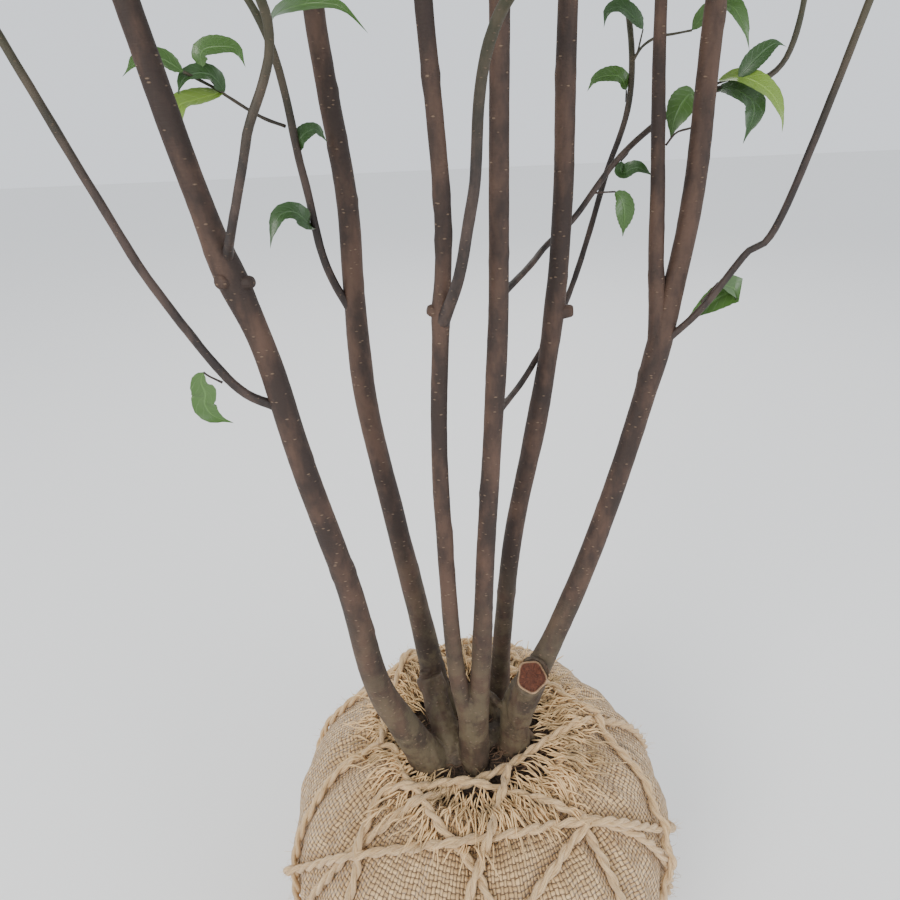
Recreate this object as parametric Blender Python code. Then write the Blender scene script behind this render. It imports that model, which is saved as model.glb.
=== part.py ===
"""A multi-stem broadleaf tree, Symplocos myrtacea, standing on its root ball, which is wrapped in burlap and
lashed with jute rope.

Units are metres and +Z is up. The origin is the middle of the root ball's flat underside. The front of the tree
faces -Y. Stems and boughs are tapering tubes through a few places of each limb, and each foliage mass is grown
by one seeded rule inside an egg-shaped space of its own.
"""

import math
import random

import bmesh
import bpy
from mathutils import Matrix, Vector
from mathutils.bvhtree import BVHTree

# Clearance between neighbouring pieces
GAP = 0.0003

# Root ball
BALL_MIDDLE = Vector((0.0, 0.0, 0.19))
SOIL_LEVEL = 0.343
BALL_PROFILE = (  # (height, radius) from the foot, over the belly and the gathered rim, to the soil
    (0.0, 0.138), (0.012, 0.152), (0.04, 0.168), (0.09, 0.187), (0.15, 0.201), (0.20, 0.205), (0.245, 0.200),
    (0.285, 0.183), (0.315, 0.158), (0.335, 0.132), (0.346, 0.112), (0.350, 0.100), (0.347, 0.089),
    (SOIL_LEVEL, 0.082),
)
BALL_SIDES = 40
RIM_SWELL = 0.011  # the burlap is bunched up higher behind the stems
RIM_SWELL_AZIMUTH = math.radians(118)

# Lashing
ROPE_DIAMETER = 0.009
ROPE_LIFT = 0.0010
ROPE_SIDES = 4
ROPE_STEP = 0.042
ROPE_FOOT = 134  # polar angle of the ropes' lower ends, just above the underside
# Each rope runs through (azimuth, polar angle) in degrees, seen from the middle of the ball; azimuth -90 is front
# and polar angle 0 is the top.
ROPES = {
    "front_left_loop": ((-76, ROPE_FOOT), (-80, 90), (-89, 49), (-110, 34), (-150, 29), (-172, 30), (-170, 48),
                        (-162, 66), (-156, 84), (-152, ROPE_FOOT)),
    "front_right_over": ((-150, ROPE_FOOT), (-149, 84), (-143, 58), (-137, 44), (-128, 31), (-102, 20), (-60, 17),
                         (-5, 27), (6, 40), (12, 62), (20, 98), (22, ROPE_FOOT)),
    "front_right_low": ((-125, ROPE_FOOT), (-131, 84), (-135, 54), (-146, 37), (-133, 27), (-102, 20), (-60, 28),
                        (-43, 42), (-30, 59), (-19, 98), (-15, ROPE_FOOT)),
    "belt": ((165, ROPE_FOOT), (178, 106), (-166, 84), (-155, 69), (-140, 52), (-117, 40), (-83, 35), (-45, 42),
             (-23, 62), (-6, 84), (20, 112), (36, ROPE_FOOT)),
    "front_strand": ((-56, 18), (-80, 28), (-92, 41), (-96, 50), (-98, 88), (-99, ROPE_FOOT)),
    "right_front_strand": ((-46, 40), (-48, 62), (-50, 92), (-53, ROPE_FOOT)),
    "front_cross": ((-44, 42), (-59, 44), (-80, 52), (-104, 76), (-122, 106), (-134, ROPE_FOOT)),
    "right_strand": ((5, 38), (-12, 55), (-24, 68), (-34, 98), (-38, ROPE_FOOT)),
    "back_over": ((6, 39), (40, 31), (82, 29), (122, 33), (150, 48), (161, 86), (166, ROPE_FOOT)),
    "back_loop": ((-172, 31), (146, 33), (104, 40), (72, 56), (56, 88), (50, ROPE_FOOT)),
    "back_left_strand": ((98, 40), (116, 60), (126, 94), (131, ROPE_FOOT)),
    "back_right_strand": ((58, 33), (92, 62), (101, 96), (106, ROPE_FOOT)),
}

# Stems: places at these heights, then a rise through the crown to the leader's own foliage mass
LEVELS = (SOIL_LEVEL, 0.40, 0.47, 0.58, 0.70, 0.79, 0.87, 0.985)
FLARE_REACH = 0.08  # height over which the root flare fades
STEM_SIDES = 8
STEM_STEP = 0.068
LEADER_TIP_GIRTH = 0.0075
STEMS = {
    # x and y at each level; girth: diameter at 0.58 m, diameter at 0.985 m and added width of the root flare;
    # collar: height at which the stem leaves the shared root crown; mass: the foliage at the leader's tip
    "stem_far_left": dict(
        x=(-0.049, -0.068, -0.090, -0.102, -0.122, -0.134, -0.153, -0.170),
        y=(-0.026, -0.034, -0.040, -0.045, -0.050, -0.053, -0.057, -0.064),
        girth=(0.0198, 0.0135, 0.013), collar=0.415, mass="foliage_high_5"),
    "stem_left": dict(
        x=(-0.036, -0.043, -0.053, -0.069, -0.086, -0.088, -0.087, -0.098),
        y=(0.034, 0.039, 0.045, 0.052, 0.062, 0.070, 0.079, 0.095),
        girth=(0.0199, 0.0155, 0.008), collar=0.435, mass="foliage_high_4"),
    "stem_mid_left": dict(
        x=(-0.008, -0.009, -0.018, -0.022, -0.023, -0.018, -0.013, -0.019),
        y=(-0.024, -0.026, -0.027, -0.028, -0.030, -0.031, -0.032, -0.036),
        girth=(0.0134, 0.0103, 0.008), collar=0.484, mass="foliage_high_6"),
    "stem_middle": dict(
        x=(-0.003, 0.000, 0.005, 0.010, 0.017, 0.022, 0.023, 0.024),
        y=(-0.026, -0.026, -0.026, -0.026, -0.026, -0.026, -0.026, -0.026),
        girth=(0.0154, 0.0121, 0.010), collar=0.484, mass="foliage_top"),
    "stem_mid_right": dict(
        x=(0.026, 0.028, 0.031, 0.040, 0.059, 0.069, 0.072, 0.071),
        y=(0.036, 0.034, 0.032, 0.028, 0.024, 0.022, 0.021, 0.023),
        girth=(0.0166, 0.0131, 0.004), collar=0.42, mass="foliage_high_3"),
    "stem_right": dict(
        x=(0.038, 0.041, 0.071, 0.108, 0.139, 0.157, 0.168, 0.172),
        y=(-0.010, -0.009, -0.005, 0.004, 0.014, 0.023, 0.032, 0.046),
        girth=(0.0180, 0.0141, 0.010), collar=0.49, mass="foliage_high_1"),
}
# Where a stem is thicker than its even taper: (height, added diameter, reach up and down)
SWELLINGS = {
    "stem_far_left": ((0.842, 0.0040, 0.022),),
    "stem_left": ((0.735, 0.0014, 0.030),),
    "stem_mid_left": ((0.806, 0.0018, 0.014),),
    "stem_middle": ((0.770, 0.0012, 0.030),),
    "stem_mid_right": ((0.690, 0.0014, 0.030), (0.785, 0.0012, 0.020)),
    "stem_right": ((0.410, 0.0050, 0.035), (0.752, 0.0030, 0.028)),
}
# Short ends of cut-off twigs: (height on the stem, outward direction, length past the bark, diameter)
SNAGS = {
    "stem_far_left": ((0.838, (-0.45, -0.85, 0.25), 0.003, 0.0085), (0.836, (0.92, -0.30, 0.2), 0.004, 0.0075)),
    "stem_mid_left": ((0.806, (-0.95, -0.25, 0.25), 0.003, 0.0070),),
    "stem_mid_right": ((0.786, (0.99, -0.10, 0.06), 0.0065, 0.0085),),
}

# Root crown: what joins the stems' feet. Each limb is (start, end, start diameter, end diameter).
CUT_STUB = ((-0.043, 0.020, 0.352), (-0.051, 0.027, 0.412), 0.017, 0.0115)
BARK_WEB = ((-0.046, 0.026, 0.405), (-0.024, -0.024, 0.333), 0.027, 0.030)
FOOT_WEB = ((-0.040, -0.016, 0.342), (0.030, 0.006, 0.338), 0.026, 0.028)
REAR_WEB = ((0.036, -0.006, 0.345), (0.026, 0.034, 0.347), 0.024, 0.022)
ROOT_LINK = ((0.008, -0.014, 0.426), (0.031, -0.010, 0.390), 0.007, 0.008)
SAWN_LIMB = ((0.040, -0.012, 0.385), (0.0555, -0.0285, 0.463), 0.030, 0.0275)
SAW_CUT_PLACE = Vector((0.052, -0.025, 0.452))
SAW_CUT_FACING = Vector((-0.10, -0.62, 0.78)).normalized()
ROOT_CROWN_SIDES = 9
# Roots that spread from the feet over the soil: (foot x, foot y, azimuth in degrees, length, diameter)
SURFACE_ROOTS = (
    (-0.049, -0.026, -158, 0.020, 0.016), (-0.044, -0.028, -112, 0.019, 0.014), (-0.036, 0.036, 138, 0.020, 0.016),
    (0.026, 0.036, 74, 0.020, 0.014), (0.040, -0.008, 12, 0.022, 0.015), (-0.006, -0.024, -84, 0.017, 0.014),
)

# Boughs: leaves its stem at a height, passes through the places given, and ends where its mass begins
BOUGH_SIDES = 5
BOUGH_STEP = 0.055
BOUGH_TIP_GIRTH = 0.0042
BOUGHS = {
    "bough_low_1": dict(stem="stem_right", height=0.755, girth=0.0056, places=(
        (0.175, 0.009, 0.786), (0.200, 0.004, 0.827), (0.222, 0.000, 0.862))),
    "bough_low_2": dict(stem="stem_middle", height=0.812, girth=0.0048, places=(
        (0.048, 0.014, 0.823), (0.064, 0.040, 0.832), (0.086, 0.051, 0.849), (0.123, 0.060, 0.893),
        (0.176, 0.075, 0.927), (0.247, 0.094, 0.950))),
    "bough_low_3": dict(stem="stem_middle", height=0.722, girth=0.0050, places=(
        (0.050, 0.024, 0.737), (0.086, 0.060, 0.787), (0.114, 0.082, 0.870), (0.133, 0.097, 0.951))),
    "bough_low_4": dict(stem="stem_left", height=1.005, girth=0.0062, places=((-0.108, 0.148, 1.050),)),
    "bough_low_5": dict(stem="stem_left", height=0.772, girth=0.0068, places=(
        (-0.107, 0.062, 0.822), (-0.115, 0.058, 0.891), (-0.132, 0.050, 0.992))),
    "bough_low_6": dict(stem="stem_far_left", height=0.748, girth=0.0064, places=(
        (-0.157, -0.058, 0.770), (-0.189, -0.065, 0.834), (-0.206, -0.071, 0.885))),
    "bough_low_7": dict(stem="stem_far_left", height=0.850, girth=0.0056, places=(
        (-0.133, -0.078, 0.876), (-0.115, -0.087, 0.920), (-0.094, -0.100, 0.979))),
    "bough_low_8": dict(stem="stem_mid_left", height=0.797, girth=0.0080, places=(
        (-0.005, -0.050, 0.832), (0.005, -0.066, 0.885), (0.021, -0.100, 0.975))),
    "bough_mid_1": dict(stem="stem_right", height=1.10, girth=0.0070, places=()),
    "bough_mid_2": dict(stem="stem_right_fork", height=1.08, girth=0.0062, places=()),
    "bough_mid_3": dict(stem="stem_mid_right", height=1.10, girth=0.0070, places=()),
    "bough_mid_4": dict(stem="stem_left", height=1.14, girth=0.0070, places=()),
    "bough_mid_5": dict(stem="stem_far_left", height=1.12, girth=0.0070, places=()),
    "bough_mid_6": dict(stem="stem_far_left", height=1.03, girth=0.0066, places=()),
    "bough_mid_7": dict(stem="stem_mid_left", height=1.08, girth=0.0064, places=()),
    "bough_mid_8": dict(stem="stem_middle", height=1.05, girth=0.0068, places=()),
    "bough_high_7": dict(stem="stem_middle", height=1.34, girth=0.0064, places=()),
}
# The right-hand stem forks; its second leader is built as a bough with a place at each height.
FORK = dict(stem="stem_right", height=0.745, girth=(0.0128, 0.0086), mass="foliage_high_2", places=(
    (0.1475, 0.021, 0.780), (0.1445, 0.027, 0.820), (0.143, 0.036, 0.870), (0.139, 0.057, 0.985)))
FORK_SIDES = 8

# Crown: rings of foliage masses. Each ring: name, azimuths in degrees, distance from the axis, height,
# half-width and half-height of each mass
CROWN_RINGS = (
    dict(name="foliage_low", azimuths=(350, 30, 68, 112, 152, 196, 243, 295), reach=0.355, height=1.170,
         half_width=0.165, half_height=0.150),
    dict(name="foliage_mid", azimuths=(10, 55, 100, 145, 190, 235, 280, 325), reach=0.360, height=1.465,
         half_width=0.180, half_height=0.165),
    dict(name="foliage_high", azimuths=(352, 37, 85, 138, 190, 248, 300), reach=0.245, height=1.755,
         half_width=0.158, half_height=0.170),
)
CROWN_TOP = dict(name="foliage_top", centre=(0.03, -0.01, 1.925), half_width=0.150, half_height=0.180)

# Growth of a mass
GOLDEN_ANGLE = math.radians(137.5)
MASS_STEM_STEP = 0.065
SIDE_TWIGS = 6
TWIG_GIRTH, TWIG_TIP_GIRTH = 0.0050, 0.0034
TWIG_SIDES = 3
TWIG_SPREAD = (math.radians(66), math.radians(38))  # angle from the stem at its root and at its tip
LEAF_LENGTH, LEAF_WIDTH = 0.122, 0.054
LEAF_ROOT_WIDTH, LEAF_ROOT_HEIGHT = 0.0032, 0.0024
LEAF_DROOP = 0.55
LEAVES_ON_TWIG = ((1.0, 0.0), (0.62, 1.0), (0.30, -1.0))  # (share of the twig, side of it)
SPACE_MARGIN = 0.03  # of a space's size, kept clear of the next one
LIMB_CLEARANCE = 0.004

# Low sprays: a few leaves on thin twigs below the crown. Each spray hangs on a bough; a leaf is (base, tip, width).
SPRAYS = {
    "leaf_spray_1": dict(
        bough="bough_low_5", twig=((-0.122, 0.052, 0.924), (-0.138, 0.042, 0.930), (-0.156, 0.025, 0.944),
                                   (-0.172, 0.010, 0.955)),
        leaves=(((-0.152, 0.029, 0.941), (-0.187, -0.012, 0.910), 0.017),
                ((-0.157, 0.024, 0.945), (-0.177, 0.004, 0.944), 0.016),
                ((-0.166, 0.016, 0.951), (-0.140, 0.018, 0.966), 0.018))),
    "leaf_spray_2": dict(
        bough="bough_low_5", twig=((-0.125, 0.048, 0.972), (-0.114, 0.035, 0.986)),
        leaves=(((-0.116, 0.037, 0.984), (-0.058, 0.010, 0.978), 0.016),)),
    "leaf_spray_3": dict(
        bough="bough_low_2", twig=((0.197, 0.081, 0.932), (0.203, 0.068, 0.936), (0.208, 0.056, 0.940)),
        leaves=(((0.202, 0.070, 0.935), (0.233, 0.050, 0.905), 0.017),
                ((0.199, 0.076, 0.934), (0.210, 0.060, 0.896), 0.018),
                ((0.206, 0.060, 0.939), (0.232, 0.072, 0.962), 0.016))),
    "leaf_spray_4": dict(
        bough="bough_low_3", twig=((0.136, 0.099, 0.957), (0.147, 0.098, 0.964), (0.158, 0.097, 0.968),
                                   (0.172, 0.098, 0.969)),
        leaves=(((0.156, 0.097, 0.967), (0.180, 0.086, 0.978), 0.015),
                ((0.169, 0.098, 0.969), (0.209, 0.080, 0.958), 0.018))),
    "leaf_spray_5": dict(
        bough="bough_low_1", twig=((0.181, 0.009, 0.797), (0.187, 0.013, 0.806), (0.192, 0.018, 0.809)),
        leaves=(((0.191, 0.017, 0.808), (0.166, 0.020, 0.773), 0.024),)),
    "leaf_spray_6": dict(
        bough="bough_low_2", twig=((0.101, 0.052, 0.864), (0.110, 0.047, 0.866), (0.117, 0.044, 0.866)),
        leaves=(((0.116, 0.045, 0.866), (0.123, 0.042, 0.834), 0.018),)),
}
SPRAY_TWIG_GIRTH = 0.0032

COLOURS = {
    "bark": (0.115, 0.072, 0.050, 1.0, 0.68),
    "young_bark": (0.070, 0.045, 0.036, 1.0, 0.62),
    "foliage": (0.105, 0.200, 0.040, 1.0, 0.48),
    "burlap": (0.540, 0.370, 0.205, 1.0, 0.92),
    "rope": (0.600, 0.440, 0.265, 1.0, 0.88),
}


def clear_scene():
    for item in list(bpy.data.objects):
        bpy.data.objects.remove(item, do_unlink=True)


def material(name):
    found = bpy.data.materials.get(name)
    if found:
        return found
    made = bpy.data.materials.new(name)
    made.use_nodes = True
    shader = made.node_tree.nodes["Principled BSDF"]
    red, green, blue, alpha, roughness = COLOURS[name]
    shader.inputs["Base Color"].default_value = (red, green, blue, alpha)
    shader.inputs["Roughness"].default_value = roughness
    shader.inputs["Metallic"].default_value = 0.0
    made.diffuse_color = (red, green, blue, alpha)
    return made


def add_object(name, mesh, material_name):
    made = bpy.data.objects.new(name, mesh)
    bpy.context.scene.collection.objects.link(made)
    if material_name:
        mesh.materials.clear()
        mesh.materials.append(material(material_name))
    return made


def spline(knots, step):
    """Points a step apart along a smooth curve through the knots."""
    knots = [Vector(knot) for knot in knots]
    if len(knots) == 2:
        dense = [knots[0].lerp(knots[1], i / 24) for i in range(25)]
    else:
        ends = [knots[0] * 2 - knots[1]] + knots + [knots[-1] * 2 - knots[-2]]
        dense = []
        for a, b, c, d in zip(ends, ends[1:], ends[2:], ends[3:]):
            for i in range(24):
                t = i / 24
                dense.append(0.5 * (2 * b + (c - a) * t + (2 * a - 5 * b + 4 * c - d) * t * t
                                    + (3 * b - a - 3 * c + d) * t ** 3))
        dense.append(knots[-1])
    lengths = [0.0]
    for a, b in zip(dense, dense[1:]):
        lengths.append(lengths[-1] + (b - a).length)
    count = max(1, round(lengths[-1] / step))
    points, at = [], 0
    for i in range(count + 1):
        want = lengths[-1] * i / count
        while at < len(lengths) - 2 and lengths[at + 1] < want:
            at += 1
        span = lengths[at + 1] - lengths[at]
        points.append(dense[at].lerp(dense[at + 1], (want - lengths[at]) / span if span else 0.0))
    return points


def tangents(points):
    """Direction of the curve at each point."""
    last = len(points) - 1
    return [(points[min(i + 1, last)] - points[max(i - 1, 0)]).normalized() for i in range(last + 1)]


def tube_mesh(name, points, radii, sides, first=None):
    """A closed tube with flat ends; its rings are carried along without twist."""
    along = tangents(points)
    across = Vector(first) if first else Vector((0.0, 1.0, 0.0))
    across = (across - along[0] * across.dot(along[0])).normalized()
    form = bmesh.new()
    rings = []
    for i, (point, radius) in enumerate(zip(points, radii)):
        if i:
            across = (along[i - 1].rotation_difference(along[i]) @ across).normalized()
        beside = along[i].cross(across).normalized()
        ring = []
        for k in range(sides):
            angle = math.tau * k / sides
            ring.append(form.verts.new(point + (across * math.cos(angle) + beside * math.sin(angle)) * radius))
        rings.append(ring)
    for low, high in zip(rings, rings[1:]):
        for k in range(sides):
            n = (k + 1) % sides
            form.faces.new((low[k], low[n], high[n], high[k]))
    form.faces.new(list(reversed(rings[0])))
    form.faces.new(rings[-1])
    mesh = bpy.data.meshes.new(name)
    form.to_mesh(mesh)
    form.free()
    return mesh


def evaluated_copy(item):
    """The object's mesh with its modifiers applied."""
    bpy.context.view_layer.update()
    graph = bpy.context.evaluated_depsgraph_get()
    return bpy.data.meshes.new_from_object(item.evaluated_get(graph))


def keep_largest_body(mesh):
    """Drops loose scraps and fills sealed hollows: only the shell with the widest box stays."""
    form = bmesh.new()
    form.from_mesh(mesh)
    unseen = set(form.verts)
    bodies = []
    while unseen:
        seed = unseen.pop()
        body, edge = {seed}, [seed]
        while edge:
            vert = edge.pop()
            for link in vert.link_edges:
                other = link.other_vert(vert)
                if other in unseen:
                    unseen.discard(other)
                    body.add(other)
                    edge.append(other)
        low = Vector((min(v.co[i] for v in body) for i in range(3)))
        high = Vector((max(v.co[i] for v in body) for i in range(3)))
        bodies.append(((high - low).length, body))
    bodies.sort(key=lambda pair: pair[0], reverse=True)
    for _, body in bodies[1:]:
        bmesh.ops.delete(form, geom=list(body), context="VERTS")
    form.to_mesh(mesh)
    form.free()
    return mesh


def combine(name, first, others, operation, material_name, solver="EXACT"):
    """One Boolean of the first mesh with a collection of the others, applied; returns the finished object."""
    group = bpy.data.collections.new(name + "_pieces")
    bpy.context.scene.collection.children.link(group)
    pieces = []
    for mesh in others:
        piece = bpy.data.objects.new(name + "_piece", mesh)
        group.objects.link(piece)
        pieces.append(piece)
    base = add_object(name + "_base", first, material_name)
    cut = base.modifiers.new("join", "BOOLEAN")
    cut.operation = operation
    cut.operand_type = "COLLECTION"
    cut.collection = group
    cut.solver = solver
    joined = keep_largest_body(evaluated_copy(base))
    for piece in pieces:
        bpy.data.objects.remove(piece, do_unlink=True)
    bpy.data.objects.remove(base, do_unlink=True)
    bpy.data.collections.remove(group)
    joined.name = name
    return add_object(name, joined, material_name)


def take_mesh(item):
    """Removes an object and hands on its mesh."""
    mesh = item.data.copy()
    bpy.data.objects.remove(item, do_unlink=True)
    return mesh


def tree_of(item):
    """Search tree of an object's faces, for clearances."""
    return BVHTree.FromPolygons([v.co for v in item.data.vertices], [p.vertices for p in item.data.polygons])


def shade_round(item, degrees=40):
    item.data.shade_smooth()
    item.data.set_sharp_from_angle(angle=math.radians(degrees))


def turn_difference(a, b):
    """Angle between two azimuths, in radians."""
    return abs((a - b + math.pi) % math.tau - math.pi)


def ball_point(azimuth, height, radius):
    """A point of the burlap: the turned profile, with soft lobes and the bunched rim behind."""
    belly = math.sin(math.pi * min(1.0, height / BALL_PROFILE[-3][0]))
    lobes = 0.012 * math.sin(3 * azimuth + 0.8) + 0.008 * math.sin(5 * azimuth + 2.1)
    radius *= 1 + lobes * belly
    fold = 0.004 * math.sin(9 * azimuth + 0.5) if 0.09 < radius < 0.16 and height > 0.3 else 0.0
    shoulder = math.exp(-((radius - 0.115) / 0.030) ** 2) if height > 0.3 and radius > 0.078 else 0.0
    swell = RIM_SWELL * math.exp(-(turn_difference(azimuth, RIM_SWELL_AZIMUTH) / 0.75) ** 2) * shoulder
    return Vector((radius * math.cos(azimuth), radius * math.sin(azimuth), height + swell + fold * shoulder))


def make_root_ball():
    form = bmesh.new()
    rings = []
    for height, radius in BALL_PROFILE:
        rings.append([form.verts.new(ball_point(math.tau * k / BALL_SIDES, height, radius))
                      for k in range(BALL_SIDES)])
    for ring, height in ((rings[0], 0.0), (rings[-1], SOIL_LEVEL)):
        for vert in ring:
            vert.co.z = height
    for low, high in zip(rings, rings[1:]):
        for k in range(BALL_SIDES):
            n = (k + 1) % BALL_SIDES
            form.faces.new((low[k], low[n], high[n], high[k]))
    form.faces.new(list(reversed(rings[0])))
    form.faces.new(rings[-1])
    bmesh.ops.triangulate(form, faces=form.faces)  # so that the ropes lie on the same flat facets
    mesh = bpy.data.meshes.new("root_ball")
    form.to_mesh(mesh)
    form.free()
    ball = add_object("root_ball", mesh, "burlap")
    shade_round(ball)
    return ball


def rope_points(route, ball_tree):
    """The rope's middle line: laid on the burlap along the route's directions, then lifted until its straight
    runs clear the burlap too."""
    clearance = ROPE_DIAMETER / 2 + ROPE_LIFT
    rough = []
    for azimuth, polar in route:
        a, p = math.radians(azimuth), math.radians(polar)
        rough.append(Vector((math.sin(p) * math.cos(a), math.sin(p) * math.sin(a), math.cos(p))) * 0.2)
    points = []
    for place in spline(rough, ROPE_STEP):
        outward = place.normalized()
        hit, normal, _, _ = ball_tree.ray_cast(BALL_MIDDLE, outward)
        lean = max(0.6, abs(normal.dot(outward)))
        points.append(hit + outward * (clearance / lean))
    for _ in range(8):
        for i in range(len(points) - 1):
            for share in (0.2, 0.4, 0.6, 0.8):
                place = points[i].lerp(points[i + 1], share) - BALL_MIDDLE
                hit = ball_tree.ray_cast(BALL_MIDDLE, place.normalized())[0]
                short = (hit - BALL_MIDDLE).length + clearance - place.length
                if short > 0:
                    for k in (i, i + 1):
                        points[k] = points[k] + (points[k] - BALL_MIDDLE).normalized() * short * 0.6
    return points


def make_lashing(ball):
    ball_tree = tree_of(ball)
    meshes = []
    for name, route in ROPES.items():
        points = rope_points(route, ball_tree)
        outward = (points[0] - BALL_MIDDLE).normalized()
        side = tangents(points)[0].cross(outward)
        radii = [ROPE_DIAMETER / 2] * len(points)
        meshes.append(tube_mesh(name, points, radii, ROPE_SIDES, outward + side))
    net = take_mesh(combine("lashing_net", meshes[0], meshes[1:], "UNION", "rope"))
    grown = ball.data.copy()
    for vert, normal in zip(grown.vertices, [n.vector.copy() for n in ball.data.vertex_normals]):
        vert.co += normal * GAP * 1.1
    return combine("lashing", net, [grown], "DIFFERENCE", "rope")


def crown_spaces():
    """Name, centre, half-width and half-height of each foliage mass."""
    spaces = {}
    for ring in CROWN_RINGS:
        for i, azimuth in enumerate(ring["azimuths"], 1):
            a = math.radians(azimuth)
            # Masses behind hang a little higher, and every other one is set in and up so that the rings interlock.
            lift = 0.025 * math.sin(a) + (0.018 if i % 2 else -0.006)
            reach = ring["reach"] * (0.96 if i % 2 else 1.0)
            centre = Vector((reach * math.cos(a), reach * math.sin(a), ring["height"] + lift))
            spaces[f"{ring['name']}_{i}"] = (centre, ring["half_width"], ring["half_height"])
    spaces[CROWN_TOP["name"]] = (Vector(CROWN_TOP["centre"]), CROWN_TOP["half_width"], CROWN_TOP["half_height"])
    return spaces


def depth_in(space, point):
    """0 at the middle of a mass's space and 1 at its edge."""
    centre, half_width, half_height = space
    off = point - centre
    return math.sqrt((off.x ** 2 + off.y ** 2) / half_width ** 2 + off.z ** 2 / half_height ** 2)


def entry_of(space, came_from):
    """Where a limb coming from a point enters the mass's space: low on its inner side."""
    centre, half_width, half_height = space
    inward = came_from - centre
    inward.z = 0.0
    inward = inward.normalized() if inward.length > 0.01 else Vector((0.0, 0.0, 0.0))
    return centre + inward * half_width * 0.52 + Vector((0.0, 0.0, -half_height * 0.72))


def swelling(name, height):
    return sum(added * math.exp(-((height - at) / reach) ** 2) for at, added, reach in SWELLINGS.get(name, ()))


def stem_radius(name, height, top):
    """Taper of a stem: even between the named girths, with the root flare below and the leader above."""
    low, high, flare = STEMS[name]["girth"]
    if height <= LEVELS[-1]:
        girth = low + (high - low) * (height - 0.58) / (LEVELS[-1] - 0.58)
        girth += flare * math.exp(-(height - SOIL_LEVEL) / FLARE_REACH)
    else:
        rise = (height - LEVELS[-1]) / (top - LEVELS[-1])
        girth = high + (LEADER_TIP_GIRTH - high) * rise
    return (girth + swelling(name, height)) / 2


def stem_knots(name, spaces):
    """The named places, then a rise that turns from the stem's lean toward its foliage mass."""
    stem = STEMS[name]
    knots = [Vector(place) for place in zip(stem["x"], stem["y"], LEVELS)]
    lean = (knots[-1] - knots[-3]) / (knots[-1].z - knots[-3].z)
    tip = entry_of(spaces[stem["mass"]], knots[-1])
    start = knots[-1]
    for t in (0.25, 0.5, 0.75):
        height = start.z + (tip.z - start.z) * t
        carried = start + lean * (height - start.z)
        aimed = start.lerp(tip, t)
        bend = t * t * (3 - 2 * t)
        sway = 0.006 * math.sin(5.0 * height + 30.0 * start.x)
        knots.append(carried.lerp(aimed, bend) + Vector((sway, sway * 0.6, 0.0)) * (1 - t))
    return knots + [tip]


def stem_line(name, spaces):
    """Points and radii of a whole stem, from the soil to its leader's tip."""
    knots = stem_knots(name, spaces)
    points = spline(knots, STEM_STEP)
    top = knots[-1].z
    return points, [stem_radius(name, p.z, top) for p in points]


def point_at_height(points, height):
    """Where a rising line crosses a height, and its direction there."""
    for a, b in zip(points, points[1:]):
        if a.z <= height <= b.z:
            return a.lerp(b, (height - a.z) / (b.z - a.z)), (b - a).normalized()
    return points[-1], (points[-1] - points[-2]).normalized()


def cut_line(points, radii, height, keep_above, gap=0.0):
    """Splits a line at a height, by a plane square to it, and keeps one side."""
    place, along = point_at_height(points, height)
    place = place + along * gap
    for i, (a, b) in enumerate(zip(points, points[1:])):
        if a.z <= height <= b.z:
            radius = radii[i] + (radii[i + 1] - radii[i]) * (height - a.z) / (b.z - a.z)
            if keep_above:
                return [place] + points[i + 1:], [radius] + radii[i + 1:]
            return points[:i + 1] + [place], radii[:i + 1] + [radius]
    raise ValueError("height is off the line")


def limb(start, end, start_diameter, end_diameter, name="limb", sides=ROOT_CROWN_SIDES):
    points = [Vector(start), Vector(start).lerp(Vector(end), 0.5), Vector(end)]
    radii = [start_diameter / 2, (start_diameter + end_diameter) / 4, end_diameter / 2]
    return tube_mesh(name, points, radii, sides)


def box_mesh(name, low, high):
    form = bmesh.new()
    bmesh.ops.create_cube(form, size=1.0)
    size = [b - a for a, b in zip(low, high)]
    centre = [(a + b) / 2 for a, b in zip(low, high)]
    bmesh.ops.transform(form, matrix=Matrix.Translation(centre) @ Matrix.Diagonal((*size, 1.0)), verts=form.verts)
    mesh = bpy.data.meshes.new(name)
    form.to_mesh(mesh)
    form.free()
    return mesh


def sawn_limb():
    """The thick stump of a removed stem, ending in the flat face of the saw cut."""
    stump = limb(*SAWN_LIMB, name="sawn_limb")
    block = box_mesh("saw", (-0.05, -0.05, 0.0), (0.05, 0.05, 0.05))
    turn = SAW_CUT_FACING.to_track_quat("Z", "Y").to_matrix().to_4x4()
    block.transform(Matrix.Translation(SAW_CUT_PLACE) @ turn)
    return take_mesh(combine("sawn_limb", stump, [block], "DIFFERENCE", "bark"))


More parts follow.
